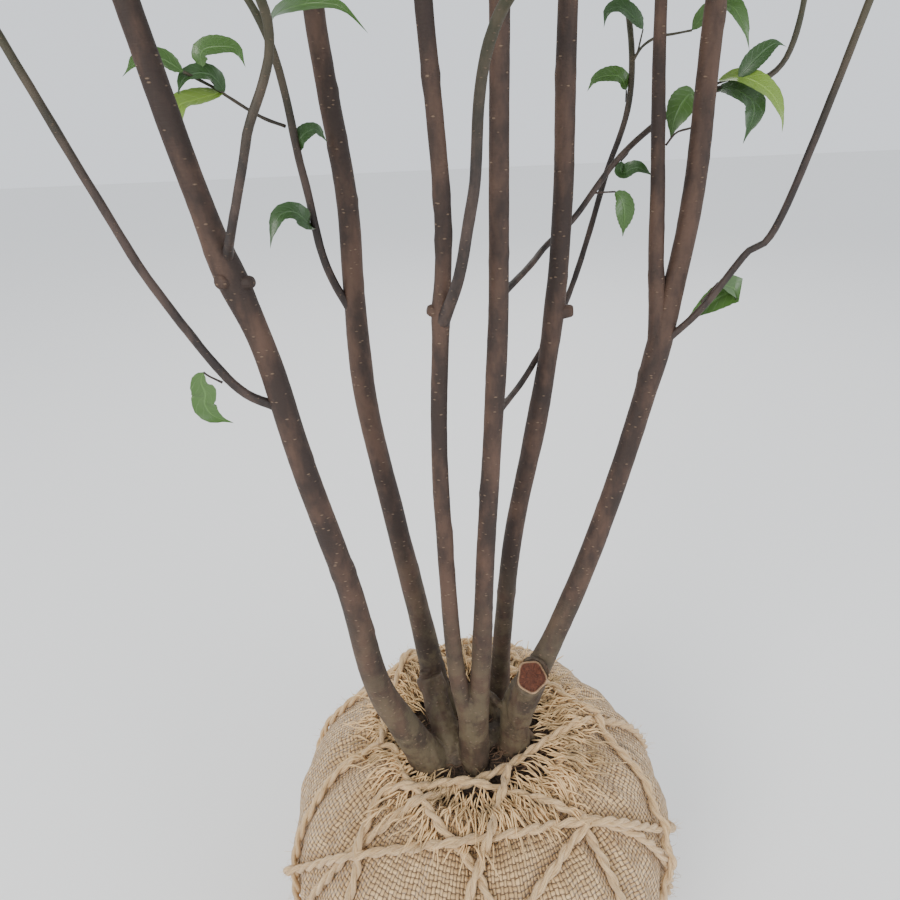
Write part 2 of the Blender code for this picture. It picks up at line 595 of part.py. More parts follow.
def make_root_crown(lines):
    """The joined feet of the six stems, flat where they stand on the soil."""
    pieces = []
    for name, (points, radii) in lines.items():
        low_points, low_radii = cut_line(points, radii, STEMS[name]["collar"], keep_above=False)
        below = low_points[0] + Vector((0.0, 0.0, -0.02))
        pieces.append(tube_mesh(name, [below] + low_points, [low_radii[0]] + low_radii, ROOT_CROWN_SIDES))
    for start, end, start_diameter, end_diameter in (CUT_STUB, BARK_WEB, FOOT_WEB, REAR_WEB,
                                                     ROOT_LINK):
        pieces.append(limb(start, end, start_diameter, end_diameter))
    for x, y, azimuth, length, diameter in SURFACE_ROOTS:
        out = Vector((math.cos(math.radians(azimuth)), math.sin(math.radians(azimuth)), 0.0))
        foot = Vector((x, y, SOIL_LEVEL))
        knots = (foot + Vector((0, 0, 0.026)), foot + out * length * 0.6 + Vector((0, 0, 0.006)),
                 foot + out * length - Vector((0, 0, 0.006)))
        points = spline(knots, length * 0.5)
        radii = [diameter / 2 * (1 - 0.45 * i / (len(points) - 1)) for i in range(len(points))]
        pieces.append(tube_mesh("root", points, radii, 7))
    pieces.append(sawn_limb())
    joined = take_mesh(combine("root_crown_joined", pieces[0], pieces[1:], "UNION", "bark"))
    soil = box_mesh("soil", (-0.2, -0.2, SOIL_LEVEL - 0.1), (0.2, 0.2, SOIL_LEVEL + GAP))
    made = combine("root_crown", joined, [soil], "DIFFERENCE", "bark")
    shade_round(made)
    return made


def make_stem(name, points, radii):
    """A stem from the root crown to its leader's tip, with the ends of cut-off twigs."""
    upper, upper_radii = cut_line(points, radii, STEMS[name]["collar"], keep_above=True, gap=GAP)
    trunk = tube_mesh(name, upper, upper_radii, STEM_SIDES)
    ends = []
    for height, direction, length, diameter in SNAGS.get(name, ()):
        root, _ = point_at_height(points, height)
        out = Vector(direction).normalized()
        reach = stem_radius(name, height, points[-1].z) + length
        ends.append(limb(root + out * 0.002, root + out * reach, diameter * 1.25, diameter, "snag", 7))
    if ends:
        made = combine(name, trunk, ends, "UNION", "bark")
    else:
        made = add_object(name, trunk, "bark")
    shade_round(made)
    return made


def cut_clear(name, mesh, parent, material_name):
    """Cuts a limb's root to its parent's surface, the clearance away."""
    points, radii, sides = parent
    grown = tube_mesh("parent", points, [r + GAP for r in radii], sides)
    made = combine(name, mesh, [grown], "DIFFERENCE", material_name)
    shade_round(made)
    return made


def bough_line(root, places, girths, space):
    """Points and radii of a limb from its root, through its places, to where its mass begins."""
    knots = [root] + [Vector(place) for place in places]
    tip = entry_of(space, knots[-1])
    if len(knots) == 1:
        # A young bough leaves low and outward, then turns up toward its mass.
        out = tip - root
        knots.append(root + Vector((out.x * 0.42, out.y * 0.42, out.z * 0.30)))
    knots.append(tip)
    points = spline(knots, BOUGH_STEP)
    last = len(points) - 1
    radii = [(girths[0] + (girths[1] - girths[0]) * (i / last)) / 2 for i in range(last + 1)]
    return points, radii


def make_fork(spaces, lines):
    """The second leader of the right-hand stem."""
    points, radii = lines[FORK["stem"]]
    root, _ = point_at_height(points, FORK["height"])
    knots = [root] + [Vector(place) for place in FORK["places"]]
    tip = entry_of(spaces[FORK["mass"]], knots[-1])
    lean = (knots[-1] - knots[-2]) / (knots[-1].z - knots[-2].z)
    for t in (0.35, 0.7):
        height = knots[4].z + (tip.z - knots[4].z) * t
        carried = knots[4] + lean * (height - knots[4].z)
        knots.append(carried.lerp(knots[4].lerp(tip, t), t))
    knots.append(tip)
    fork_points = spline(knots, STEM_STEP)
    low, high = FORK["girth"]
    fork_radii = []
    for p in fork_points:
        if p.z < LEVELS[-1]:
            girth = low + (high - low) * (p.z - root.z) / (LEVELS[-1] - root.z)
        else:
            girth = high + (LEADER_TIP_GIRTH * 0.85 - high) * (p.z - LEVELS[-1]) / (tip.z - LEVELS[-1])
        fork_radii.append(girth / 2)
    mesh = tube_mesh("stem_right_fork", fork_points, fork_radii, FORK_SIDES)
    cut_clear("stem_right_fork", mesh, (points, radii, STEM_SIDES), "bark")
    return fork_points, fork_radii


def make_boughs(spaces, lines):
    """All side boughs, each cut clear of its stem; returns their lines."""
    made = {}
    for name, bough in BOUGHS.items():
        points, radii = lines[bough["stem"]]
        sides = FORK_SIDES if bough["stem"] == "stem_right_fork" else STEM_SIDES
        root, _ = point_at_height(points, bough["height"])
        space = spaces[name.replace("bough", "foliage")]
        line, line_radii = bough_line(root, bough["places"], (bough["girth"], BOUGH_TIP_GIRTH), space)
        mesh = tube_mesh(name, line, line_radii, BOUGH_SIDES)
        cut_clear(name, mesh, (points, radii, sides), "young_bark")
        made[name] = (line, line_radii)
    return made


def leaf_mesh(base, tip, width, face_up=Vector((0.0, 0.0, 1.0))):
    """A pointed blade of 8 faces whose thick root is sunk into its twig; it thins toward edges and tip."""
    along = (tip - base).normalized()
    length = (tip - base).length
    across = along.cross(face_up)
    across = across.normalized() if across.length > 0.1 else along.cross(Vector((1.0, 0.2, 0.0))).normalized()
    up = across.cross(along).normalized()
    widest = base + along * length * 0.42 - up * length * 0.02
    verts = [
        base - across * LEAF_ROOT_WIDTH / 2 - up * LEAF_ROOT_HEIGHT * 0.4,
        base + across * LEAF_ROOT_WIDTH / 2 - up * LEAF_ROOT_HEIGHT * 0.4,
        base + up * LEAF_ROOT_HEIGHT * 0.6,
        widest - across * width / 2,
        widest + across * width / 2,
        tip - up * length * 0.06,
    ]
    left_root, right_root, top_root, left, right, point = range(6)
    faces = [
        (left_root, top_root, right_root), (left_root, right_root, right), (left_root, right, left),
        (left, right, point), (left_root, left, top_root), (left, point, top_root), (point, right, top_root),
        (right, right_root, top_root),
    ]
    mesh = bpy.data.meshes.new("leaf")
    mesh.from_pydata([tuple(v) for v in verts], [], faces)
    form = bmesh.new()
    form.from_mesh(mesh)
    bmesh.ops.recalc_face_normals(form, faces=form.faces)
    form.to_mesh(mesh)
    form.free()
    return mesh


class Space:
    """The room that one mass may fill: its own egg, short of its neighbours and clear of every limb."""

    def __init__(self, name, spaces, limb_trees, grown_trees):
        self.own = spaces[name]
        self.others = [space for other, space in spaces.items() if other != name]
        self.limb_trees = limb_trees
        self.grown_trees = grown_trees

    def holds(self, point, clearance=LIMB_CLEARANCE):
        depth = depth_in(self.own, point)
        if depth > 1.0:
            return False
        if any(depth_in(other, point) < depth + SPACE_MARGIN for other in self.others):
            return False
        return all(tree.find_nearest(point, clearance)[0] is None for tree in self.limb_trees)

    def clear(self, mesh):
        """No face of the mesh crosses a limb or another mass."""
        tree = BVHTree.FromPolygons([v.co for v in mesh.vertices], [p.vertices for p in mesh.polygons])
        return not any(tree.overlap(other) for other in self.limb_trees + self.grown_trees)


def mass_stem(space, start, direction):
    """The mass's own stem: on from the bough's tip, through the middle, to the far side."""
    centre, half_width, half_height = space
    outward = Vector((centre.x, centre.y, 0.0))
    outward = outward.normalized() if outward.length > 0.06 else Vector((0.0, 0.0, 0.0))
    far = centre + outward * half_width * 0.60 + Vector((0.0, 0.0, half_height * 0.68))
    if outward.length < 0.5:
        far = centre + Vector((0.0, 0.0, half_height * 0.90))
    knots = [start + direction * 0.010, start + direction * 0.030, centre.lerp(far, 0.15), far]
    return [start] + spline(knots, MASS_STEM_STEP)


def side_twigs(space, stem, rng):
    """The side twigs' lines, round the stem by the golden angle, each cut short where its space ends."""
    lines = []
    along = tangents(stem)
    turn = rng.uniform(0.0, math.tau)
    for i in range(SIDE_TWIGS):
        share = 0.14 + 0.80 * i / (SIDE_TWIGS - 1)
        at = share * (len(stem) - 1)
        k = min(int(at), len(stem) - 2)
        root = stem[k].lerp(stem[k + 1], at - k)
        axis = along[k].lerp(along[k + 1], at - k).normalized()
        side = axis.orthogonal().normalized()
        side = Matrix.Rotation(turn, 3, axis) @ side
        turn += GOLDEN_ANGLE + rng.uniform(-0.25, 0.25)
        spread = TWIG_SPREAD[0] + (TWIG_SPREAD[1] - TWIG_SPREAD[0]) * share
        heading = axis * math.cos(spread) + side * math.sin(spread)
        reach = rng.uniform(0.85, 1.0) * 0.17 * (1.0 - 0.30 * share)
        tip = root + heading * reach + Vector((0.0, 0.0, 0.10 * reach))
        while depth_in(space, tip) > 0.90 and (tip - root).length > 0.03:
            tip = root.lerp(tip, 0.9)
        lines.append([root, tip])
    return lines


def leaf_places(twig, rng):
    """Roots and tips of a twig's leaves: one on the end and others alternate along it, all drooping."""
    places = []
    root, tip = twig
    along = (tip - root).normalized()
    sideways = along.cross(Vector((0.0, 0.0, 1.0)))
    sideways = sideways.normalized() if sideways.length > 0.1 else Vector((1.0, 0.0, 0.0))
    down = Vector((0.0, 0.0, -1.0))
    for share, side in LEAVES_ON_TWIG:
        base = root.lerp(tip, share)
        if side == 0.0:
            base = base - along * 0.004
        heading = along * rng.uniform(0.45, 0.75) + sideways * side * rng.uniform(0.7, 1.0)
        heading = (heading + down * rng.uniform(0.2, LEAF_DROOP)).normalized()
        length = LEAF_LENGTH * rng.uniform(0.84, 1.06)
        places.append((base, base + heading * length))
    return places


def make_mass(name, spaces, start, direction, limb_trees, grown_trees, seed):
    """One foliage mass, grown by the seeded rule and joined into one solid."""
    rng = random.Random(seed)
    room = Space(name, spaces, limb_trees, grown_trees)
    stem = mass_stem(spaces[name], start + direction * GAP, direction)
    last = len(stem) - 1
    radii = [(BOUGH_TIP_GIRTH * 1.1 + (TWIG_GIRTH * 0.85 - BOUGH_TIP_GIRTH * 1.1) * i / last) / 2
             for i in range(last + 1)]
    trunk = tube_mesh(name, stem, radii, TWIG_SIDES)
    pieces = []
    for twig in side_twigs(spaces[name], stem, rng):
        places = leaf_places(twig, rng)
        samples = [twig[0].lerp(twig[1], share) for share in (0.3, 0.5, 0.75, 1.0)]
        twig_mesh = tube_mesh("twig", twig, (TWIG_GIRTH / 2, TWIG_TIP_GIRTH / 2), TWIG_SIDES)
        if not all(room.holds(p) for p in samples) or not room.clear(twig_mesh):
            continue
        pieces.append(twig_mesh)
        for base, tip in places:
            width = LEAF_WIDTH * (tip - base).length / LEAF_LENGTH
            outward = Vector((base.x, base.y, 0.0)).normalized()
            blade = leaf_mesh(base, tip, width, outward + Vector((0.0, 0.0, rng.uniform(0.3, 1.2))))
            edge = [v.co for v in blade.vertices][3:]
            if all(room.holds(p) for p in edge) and room.holds(base.lerp(tip, 0.5)) and room.clear(blade):
                pieces.append(blade)
    tip = stem[-1]
    end_leaf = leaf_mesh(tip - tangents(stem)[-1] * 0.004,
                         tip + (tangents(stem)[-1] + Vector((0.2, 0.1, -0.1))).normalized() * LEAF_LENGTH * 0.4,
                         LEAF_WIDTH * 0.5)
    if room.clear(end_leaf):
        pieces.append(end_leaf)
    made = combine(name, trunk, pieces, "UNION", "foliage")
    return made


def make_spray(name, spray, bough_lines):
    """A few leaves on a thin twig, cut clear of the bough that carries it."""
    points, radii = bough_lines[spray["bough"]]
    knots = [Vector(place) for place in spray["twig"]]
    near = min(points_between(points), key=lambda p: (p - knots[0]).length)
    twig = spline([near] + knots[1:], 0.02)
    radius = SPRAY_TWIG_GIRTH / 2
    trunk = tube_mesh(name, twig, [radius] * len(twig), TWIG_SIDES)
    blades = [leaf_mesh(Vector(base), Vector(tip), width) for base, tip, width in spray["leaves"]]
    joined = take_mesh(combine(name + "_joined", trunk, blades, "UNION", "foliage"))
    grown = tube_mesh("bough", points, [r + GAP for r in radii], BOUGH_SIDES)
    return combine(name, joined, [grown], "DIFFERENCE", "foliage")


def points_between(points, parts=12):
    return [a.lerp(b, i / parts) for a, b in zip(points, points[1:]) for i in range(parts)]


def main():
    clear_scene()
    spaces = crown_spaces()
    ball = make_root_ball()
    make_lashing(ball)

    lines = {name: stem_line(name, spaces) for name in STEMS}
    make_root_crown(lines)
    for name, (points, radii) in lines.items():
        make_stem(name, points, radii)
    lines["stem_right_fork"] = make_fork(spaces, lines)
    bough_lines = make_boughs(spaces, lines)

    limbs = [item for item in bpy.data.objects if item.name.startswith(("stem_", "bough_"))]
    trees = {item.name: tree_of(item) for item in limbs}
    carriers = {STEMS[name]["mass"]: name for name in STEMS}
    carriers[FORK["mass"]] = "stem_right_fork"
    carriers.update({name.replace("bough", "foliage"): name for name in BOUGHS})
    all_lines = {**lines, **bough_lines}

    for name, spray in SPRAYS.items():
        trees[name] = tree_of(make_spray(name, spray, bough_lines))

    grown = []
    for seed, name in enumerate(spaces, 1):
        carrier = carriers[name]
        points, _ = all_lines[carrier]
        direction = (points[-1] - points[-2]).normalized()
        made = make_mass(name, spaces, points[-1], direction, list(trees.values()), grown, seed)
        grown.append(tree_of(made))


main()
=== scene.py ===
"""The looks of a multi-stem broadleaf tree, Symplocos myrtacea, on its burlap-wrapped root ball.

Metres, +Z up, front toward -Y. The ball is lashed with jute rope. Stems, boughs and foliage grow by the same
named places and the same seeded rule as the solids, carried on here to fine twigs and leaves of real size.
"""

import math
import random

import bpy
from mathutils import Matrix, Vector, noise
from mathutils.bvhtree import BVHTree
from mathutils.kdtree import KDTree


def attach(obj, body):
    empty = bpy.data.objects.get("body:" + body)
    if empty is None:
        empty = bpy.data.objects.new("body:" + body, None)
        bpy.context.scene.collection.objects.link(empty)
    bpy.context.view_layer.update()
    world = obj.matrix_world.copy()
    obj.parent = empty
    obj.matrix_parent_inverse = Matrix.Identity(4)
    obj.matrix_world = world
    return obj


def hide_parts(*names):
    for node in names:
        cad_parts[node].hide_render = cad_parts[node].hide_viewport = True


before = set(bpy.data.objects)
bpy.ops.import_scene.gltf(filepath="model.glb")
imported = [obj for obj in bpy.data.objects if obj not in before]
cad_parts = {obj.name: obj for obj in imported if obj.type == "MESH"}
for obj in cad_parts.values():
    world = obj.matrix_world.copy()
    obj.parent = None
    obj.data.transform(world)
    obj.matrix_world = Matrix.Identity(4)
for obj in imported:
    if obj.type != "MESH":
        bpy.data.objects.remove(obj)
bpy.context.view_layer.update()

# Camera: standing close in front of the tree, looking down at its foot
CAMERA_PLACE = Vector((-0.015, -0.48, 0.94))
CAMERA_PITCH = math.radians(28.2)
CAMERA_ROLL = math.radians(2.5)
CAMERA_LENS = 27.04  # millimetres
SENSOR_WIDTH = 36.0  # millimetres

UP = Vector((0.0, 0.0, 1.0))
CURVE_STEPS = 24  # fine steps between two knots of a smooth curve

# Clearance between neighbouring pieces
GAP = 0.0003

# Root ball
BALL_MIDDLE = Vector((0.0, 0.0, 0.19))
SOIL_LEVEL = 0.343
BALL_PROFILE = (  # (height, radius) from the foot, over the belly and the gathered rim, to the soil
    (0.0, 0.138), (0.012, 0.152), (0.04, 0.168), (0.09, 0.187), (0.15, 0.201), (0.20, 0.205), (0.245, 0.200),
    (0.285, 0.183), (0.315, 0.158), (0.335, 0.132), (0.346, 0.112), (0.350, 0.100), (0.347, 0.089),
    (SOIL_LEVEL, 0.082),
)
RIM_SWELL = 0.011  # the burlap is bunched up higher behind the stems
RIM_SWELL_AZIMUTH = math.radians(118)

# Lashing
ROPE_DIAMETER = 0.009
ROPE_FOOT = 134  # polar angle of the ropes' lower ends, just above the underside
# Each rope runs through (azimuth, polar angle) in degrees, seen from the middle of the ball: azimuth -90 is
# the front and polar angle 0 is the top.
ROPES = {
    "front_left_loop": ((-76, ROPE_FOOT), (-80, 90), (-89, 49), (-110, 34), (-150, 29), (-172, 30),
        (-170, 48), (-162, 66), (-156, 84), (-152, ROPE_FOOT)),
    "front_right_over": ((-150, ROPE_FOOT), (-149, 84), (-143, 58), (-137, 44), (-128, 31), (-102, 20),
        (-60, 17), (-5, 27), (6, 40), (12, 62), (20, 98), (22, ROPE_FOOT)),
    "front_right_low": ((-125, ROPE_FOOT), (-131, 84), (-135, 54), (-146, 37), (-133, 27), (-102, 20),
        (-60, 28), (-43, 42), (-30, 59), (-19, 98), (-15, ROPE_FOOT)),
    "belt": ((165, ROPE_FOOT), (178, 106), (-166, 84), (-155, 69), (-140, 52), (-117, 40), (-83, 35),
        (-45, 42), (-23, 62), (-6, 84), (20, 112), (36, ROPE_FOOT)),
    "front_strand": ((-56, 18), (-80, 28), (-92, 41), (-96, 50), (-98, 88), (-99, ROPE_FOOT)),
    "right_front_strand": ((-46, 40), (-48, 62), (-50, 92), (-53, ROPE_FOOT)),
    "front_cross": ((-44, 42), (-59, 44), (-80, 52), (-104, 76), (-122, 106), (-134, ROPE_FOOT)),
    "right_strand": ((5, 38), (-12, 55), (-24, 68), (-34, 98), (-38, ROPE_FOOT)),
    "back_over": ((6, 39), (40, 31), (82, 29), (122, 33), (150, 48), (161, 86), (166, ROPE_FOOT)),
    "back_loop": ((-172, 31), (146, 33), (104, 40), (72, 56), (56, 88), (50, ROPE_FOOT)),
    "back_left_strand": ((98, 40), (116, 60), (126, 94), (131, ROPE_FOOT)),
    "back_right_strand": ((58, 33), (92, 62), (101, 96), (106, ROPE_FOOT)),
}

# Stems: places at these heights, then a rise through the crown to the leader's own foliage mass
LEVELS = (SOIL_LEVEL, 0.40, 0.47, 0.58, 0.70, 0.79, 0.87, 0.985)
FLARE_REACH = 0.08  # height over which the root flare fades
STEM_STEP = 0.068
LEADER_TIP_GIRTH = 0.0075
STEMS = {
    # x and y at each level; girth: diameter at 0.58 m, diameter at 0.985 m and added width of the root flare;
    # collar: height at which the stem leaves the shared root crown; mass: the foliage at the leader's tip
    "stem_far_left": dict(
        x=(-0.049, -0.068, -0.090, -0.102, -0.122, -0.134, -0.153, -0.170),
        y=(-0.026, -0.034, -0.040, -0.045, -0.050, -0.053, -0.057, -0.064),
        girth=(0.0198, 0.0135, 0.013), collar=0.415, mass="foliage_high_5"),
    "stem_left": dict(
        x=(-0.036, -0.043, -0.053, -0.069, -0.086, -0.088, -0.087, -0.098),
        y=(0.034, 0.039, 0.045, 0.052, 0.062, 0.070, 0.079, 0.095),
        girth=(0.0199, 0.0155, 0.008), collar=0.435, mass="foliage_high_4"),
    "stem_mid_left": dict(
        x=(-0.008, -0.009, -0.018, -0.022, -0.023, -0.018, -0.013, -0.019),
        y=(-0.024, -0.026, -0.027, -0.028, -0.030, -0.031, -0.032, -0.036),
        girth=(0.0134, 0.0103, 0.008), collar=0.484, mass="foliage_high_6"),
    "stem_middle": dict(
        x=(-0.003, 0.000, 0.005, 0.010, 0.017, 0.022, 0.023, 0.024),
        y=(-0.026, -0.026, -0.026, -0.026, -0.026, -0.026, -0.026, -0.026),
        girth=(0.0154, 0.0121, 0.010), collar=0.484, mass="foliage_top"),
    "stem_mid_right": dict(
        x=(0.026, 0.028, 0.031, 0.040, 0.059, 0.069, 0.072, 0.071),
        y=(0.036, 0.034, 0.032, 0.028, 0.024, 0.022, 0.021, 0.023),
        girth=(0.0166, 0.0131, 0.004), collar=0.42, mass="foliage_high_3"),
    "stem_right": dict(
        x=(0.038, 0.041, 0.071, 0.108, 0.139, 0.157, 0.168, 0.172),
        y=(-0.010, -0.009, -0.005, 0.004, 0.014, 0.023, 0.032, 0.046),
        girth=(0.0180, 0.0141, 0.010), collar=0.49, mass="foliage_high_1"),
}
# Where a stem is thicker than its even taper: (height, added diameter, reach up and down)
SWELLINGS = {
    "stem_far_left": ((0.842, 0.0040, 0.022),),
    "stem_left": ((0.735, 0.0014, 0.030),),
    "stem_mid_left": ((0.806, 0.0018, 0.014),),
    "stem_middle": ((0.770, 0.0012, 0.030),),
    "stem_mid_right": ((0.690, 0.0014, 0.030), (0.785, 0.0012, 0.020)),
    "stem_right": ((0.410, 0.0050, 0.035), (0.752, 0.0030, 0.028)),
}
# Short ends of cut-off twigs: (height on the stem, outward direction, length past the bark, diameter)
SNAGS = {
    "stem_far_left": (
        (0.838, (-0.45, -0.85, 0.25), 0.003, 0.0085),
        (0.836, (0.92, -0.30, 0.2), 0.004, 0.0075)),
    "stem_mid_left": ((0.806, (-0.95, -0.25, 0.25), 0.003, 0.0070),),
    "stem_mid_right": ((0.786, (0.99, -0.10, 0.06), 0.0065, 0.0085),),
}

# Root crown: what joins the stems' feet. Each limb is (start, end, start diameter, end diameter).
CUT_STUB = ((-0.043, 0.020, 0.352), (-0.051, 0.027, 0.412), 0.017, 0.0115)
BARK_WEB = ((-0.046, 0.026, 0.405), (-0.024, -0.024, 0.333), 0.027, 0.030)
FOOT_WEB = ((-0.040, -0.016, 0.342), (0.030, 0.006, 0.338), 0.026, 0.028)
REAR_WEB = ((0.036, -0.006, 0.345), (0.026, 0.034, 0.347), 0.024, 0.022)
ROOT_LINK = ((0.008, -0.014, 0.426), (0.031, -0.010, 0.390), 0.007, 0.008)
SAWN_LIMB = ((0.040, -0.012, 0.385), (0.0555, -0.0285, 0.463), 0.030, 0.0275)
SAW_CUT_PLACE = Vector((0.052, -0.025, 0.452))
SAW_CUT_FACING = Vector((-0.10, -0.62, 0.78)).normalized()
# Roots that spread from the feet over the soil: (foot x, foot y, azimuth in degrees, length, diameter)
SURFACE_ROOTS = (
    (-0.049, -0.026, -158, 0.020, 0.016), (-0.044, -0.028, -112, 0.019, 0.014),
    (-0.036, 0.036, 138, 0.020, 0.016), (0.026, 0.036, 74, 0.020, 0.014),
    (0.040, -0.008, 12, 0.022, 0.015), (-0.006, -0.024, -84, 0.017, 0.014),
)

# Boughs: leaves its stem at a height, passes through the places given, and ends where its mass begins
BOUGH_STEP = 0.055
BOUGH_TIP_GIRTH = 0.0042
BOUGHS = {
    "bough_low_1": dict(stem="stem_right", height=0.755, girth=0.0056, places=(
        (0.175, 0.009, 0.786), (0.200, 0.004, 0.827), (0.222, 0.000, 0.862))),
    "bough_low_2": dict(stem="stem_middle", height=0.812, girth=0.0048, places=(
        (0.048, 0.014, 0.823), (0.064, 0.040, 0.832), (0.086, 0.051, 0.849), (0.123, 0.060, 0.893),
        (0.176, 0.075, 0.927), (0.247, 0.094, 0.950))),
    "bough_low_3": dict(stem="stem_middle", height=0.722, girth=0.0050, places=(
        (0.050, 0.024, 0.737), (0.086, 0.060, 0.787), (0.114, 0.082, 0.870), (0.133, 0.097, 0.951))),
    "bough_low_4": dict(stem="stem_left", height=1.005, girth=0.0062, places=((-0.108, 0.148, 1.050),)),
    "bough_low_5": dict(stem="stem_left", height=0.772, girth=0.0068, places=(
        (-0.107, 0.062, 0.822), (-0.115, 0.058, 0.891), (-0.132, 0.050, 0.992))),
    "bough_low_6": dict(stem="stem_far_left", height=0.748, girth=0.0064, places=(
        (-0.157, -0.058, 0.770), (-0.189, -0.065, 0.834), (-0.206, -0.071, 0.885))),
    "bough_low_7": dict(stem="stem_far_left", height=0.850, girth=0.0056, places=(
        (-0.133, -0.078, 0.876), (-0.115, -0.087, 0.920), (-0.094, -0.100, 0.979))),
    "bough_low_8": dict(stem="stem_mid_left", height=0.797, girth=0.0080, places=(
        (-0.005, -0.050, 0.832), (0.005, -0.066, 0.885), (0.021, -0.100, 0.975))),
    "bough_mid_1": dict(stem="stem_right", height=1.10, girth=0.0070, places=()),
    "bough_mid_2": dict(stem="stem_right_fork", height=1.08, girth=0.0062, places=()),
    "bough_mid_3": dict(stem="stem_mid_right", height=1.10, girth=0.0070, places=()),
    "bough_mid_4": dict(stem="stem_left", height=1.14, girth=0.0070, places=()),
    "bough_mid_5": dict(stem="stem_far_left", height=1.12, girth=0.0070, places=()),
    "bough_mid_6": dict(stem="stem_far_left", height=1.03, girth=0.0066, places=()),
    "bough_mid_7": dict(stem="stem_mid_left", height=1.08, girth=0.0064, places=()),
    "bough_mid_8": dict(stem="stem_middle", height=1.05, girth=0.0068, places=()),
    "bough_high_7": dict(stem="stem_middle", height=1.34, girth=0.0064, places=()),
}
# The right-hand stem forks; its second leader is built as a bough with a place at each height.
FORK = dict(stem="stem_right", height=0.745, girth=(0.0128, 0.0086), mass="foliage_high_2", places=(
    (0.1475, 0.021, 0.780), (0.1445, 0.027, 0.820), (0.143, 0.036, 0.870), (0.139, 0.057, 0.985)))

# Crown: rings of foliage masses. Each ring: name, azimuths in degrees, distance from the axis, height,
# half-width and half-height of each mass
CROWN_RINGS = (
    dict(name="foliage_low", azimuths=(350, 30, 68, 112, 152, 196, 243, 295), reach=0.355, height=1.170,
         half_width=0.165, half_height=0.150),
    dict(name="foliage_mid", azimuths=(10, 55, 100, 145, 190, 235, 280, 325), reach=0.360, height=1.465,
         half_width=0.180, half_height=0.165),
    dict(name="foliage_high", azimuths=(352, 37, 85, 138, 190, 248, 300), reach=0.245, height=1.755,
         half_width=0.158, half_height=0.170),
)
CROWN_TOP = dict(name="foliage_top", centre=(0.03, -0.01, 1.925), half_width=0.150, half_height=0.180)

# Growth of a mass
GOLDEN_ANGLE = math.radians(137.5)
MASS_STEM_STEP = 0.065
SIDE_TWIGS = 6
TWIG_GIRTH = 0.0050
TWIG_SPREAD = (math.radians(66), math.radians(38))  # angle from the stem at its root and at its tip

# Finer steps and sides of the meshes here
FINE_STEP = 0.0055
STEM_SIDES = 20
BOUGH_SIDES = 12
CROWN_TWIG_SIDES = 4
BALL_SIDES = 300
BALL_STEP = 0.0030  # along the burlap's profile
WEAVE_PITCH = 0.0048
ROPE_STRANDS = 2
ROPE_PITCH = 0.038
ROPE_STRAND_SIDES = 7
ROPE_FINE_STEP = 0.0030
SAW_CUT_RADIUS = 0.0142
SAW_CUT_RINGS, SAW_CUT_SIDES, SAW_CUT_PROUD = 14, 64, 0.0007
MELT_VOXEL = 0.0013  # fineness of the root crown's joined surface
MELT_SMOOTHING = 5
ROOT_LIMB_STEP = 0.006
PAST_SAW_CUT = 0.014  # the sawn limb runs on under its cut face, which then flattens it
COLLAR_WIDENING, COLLAR_REACH = 0.55, 0.010  # a bough's root swells where it leaves its stem
SOIL_RINGS, SOIL_SIDES, SOIL_RADIUS = 42, 120, 0.100

# Cloth and ropes
CLOTH_GIRTH = math.tau * 0.2  # cloth once round, by which the weave is counted
ROPE_CLEARANCE = ROPE_DIAMETER / 2 - 0.0012  # middle line above the cloth, with the rope a little sunk in
ROPE_BRIDGING = 14  # passes that lay the rope straight over small dips
CROSSING_REACH, CROSSING_LIFT = ROPE_DIAMETER * 1.9, ROPE_DIAMETER * 0.85
STRAND_RADIUS, STRAND_OFFSET = ROPE_DIAMETER * 0.285, ROPE_DIAMETER * 0.225
ROPE_PRESS, ROPE_PRESS_REACH = 0.0030, 0.0075
BESIDE_SWELL, BESIDE_DISTANCE, BESIDE_REACH = 0.0022, 0.024, 0.013

# Stray fibres, fine roots and the burlap's frayed edge
FUZZ_RADII, FUZZ_LENGTH = (0.00016, 0.00013, 0.00007), (0.004, 0.011)
HAIR_ROOTS, HAIR_ROOT_POINTS, HAIR_ROOT_STEP = 150, 6, 0.0055
HAIR_ROOT_BAND, HAIR_ROOT_RADII = (0.02, 0.085), (0.00055, 0.00020)
FRAYED_THREADS = 1150
FRAYED_BAND, FRAYED_LENGTH = (0.078, 0.118), (0.010, 0.036)
FRAYED_RADII = (0.00105, 0.0010, 0.0009, 0.0007, 0.0004)

# Fine growth in a mass: shoots on each side twig and leaves on each shoot
SHOOTS_ON_TWIG = 6
LEAVES_ON_SHOOT = 6
SHOOT_LENGTH = (0.055, 0.105)
SHOOT_RADII = (0.00105, 0.0009, 0.0006)
SHOOT_LIFT = 0.25  # of its length, toward the light
FINE_TWIG_RADII, FINE_TWIG_STEP = (0.0019, 0.0009), 0.02
LEADER_SHOOT = 0.030  # past the end of a mass's stem
FINE_SEED = 500  # added to a mass's seed for the shoots and leaves
REAL_LEAF_LENGTH = (0.044, 0.066)
LEAF_SLENDERNESS = 0.37
PETIOLE_LENGTH, PETIOLE_RADIUS = 0.004, 0.0006
CROWN_CLEAR_OF_VIEW = 0.012  # crown leaves stay this far above the camera's upper edge of view
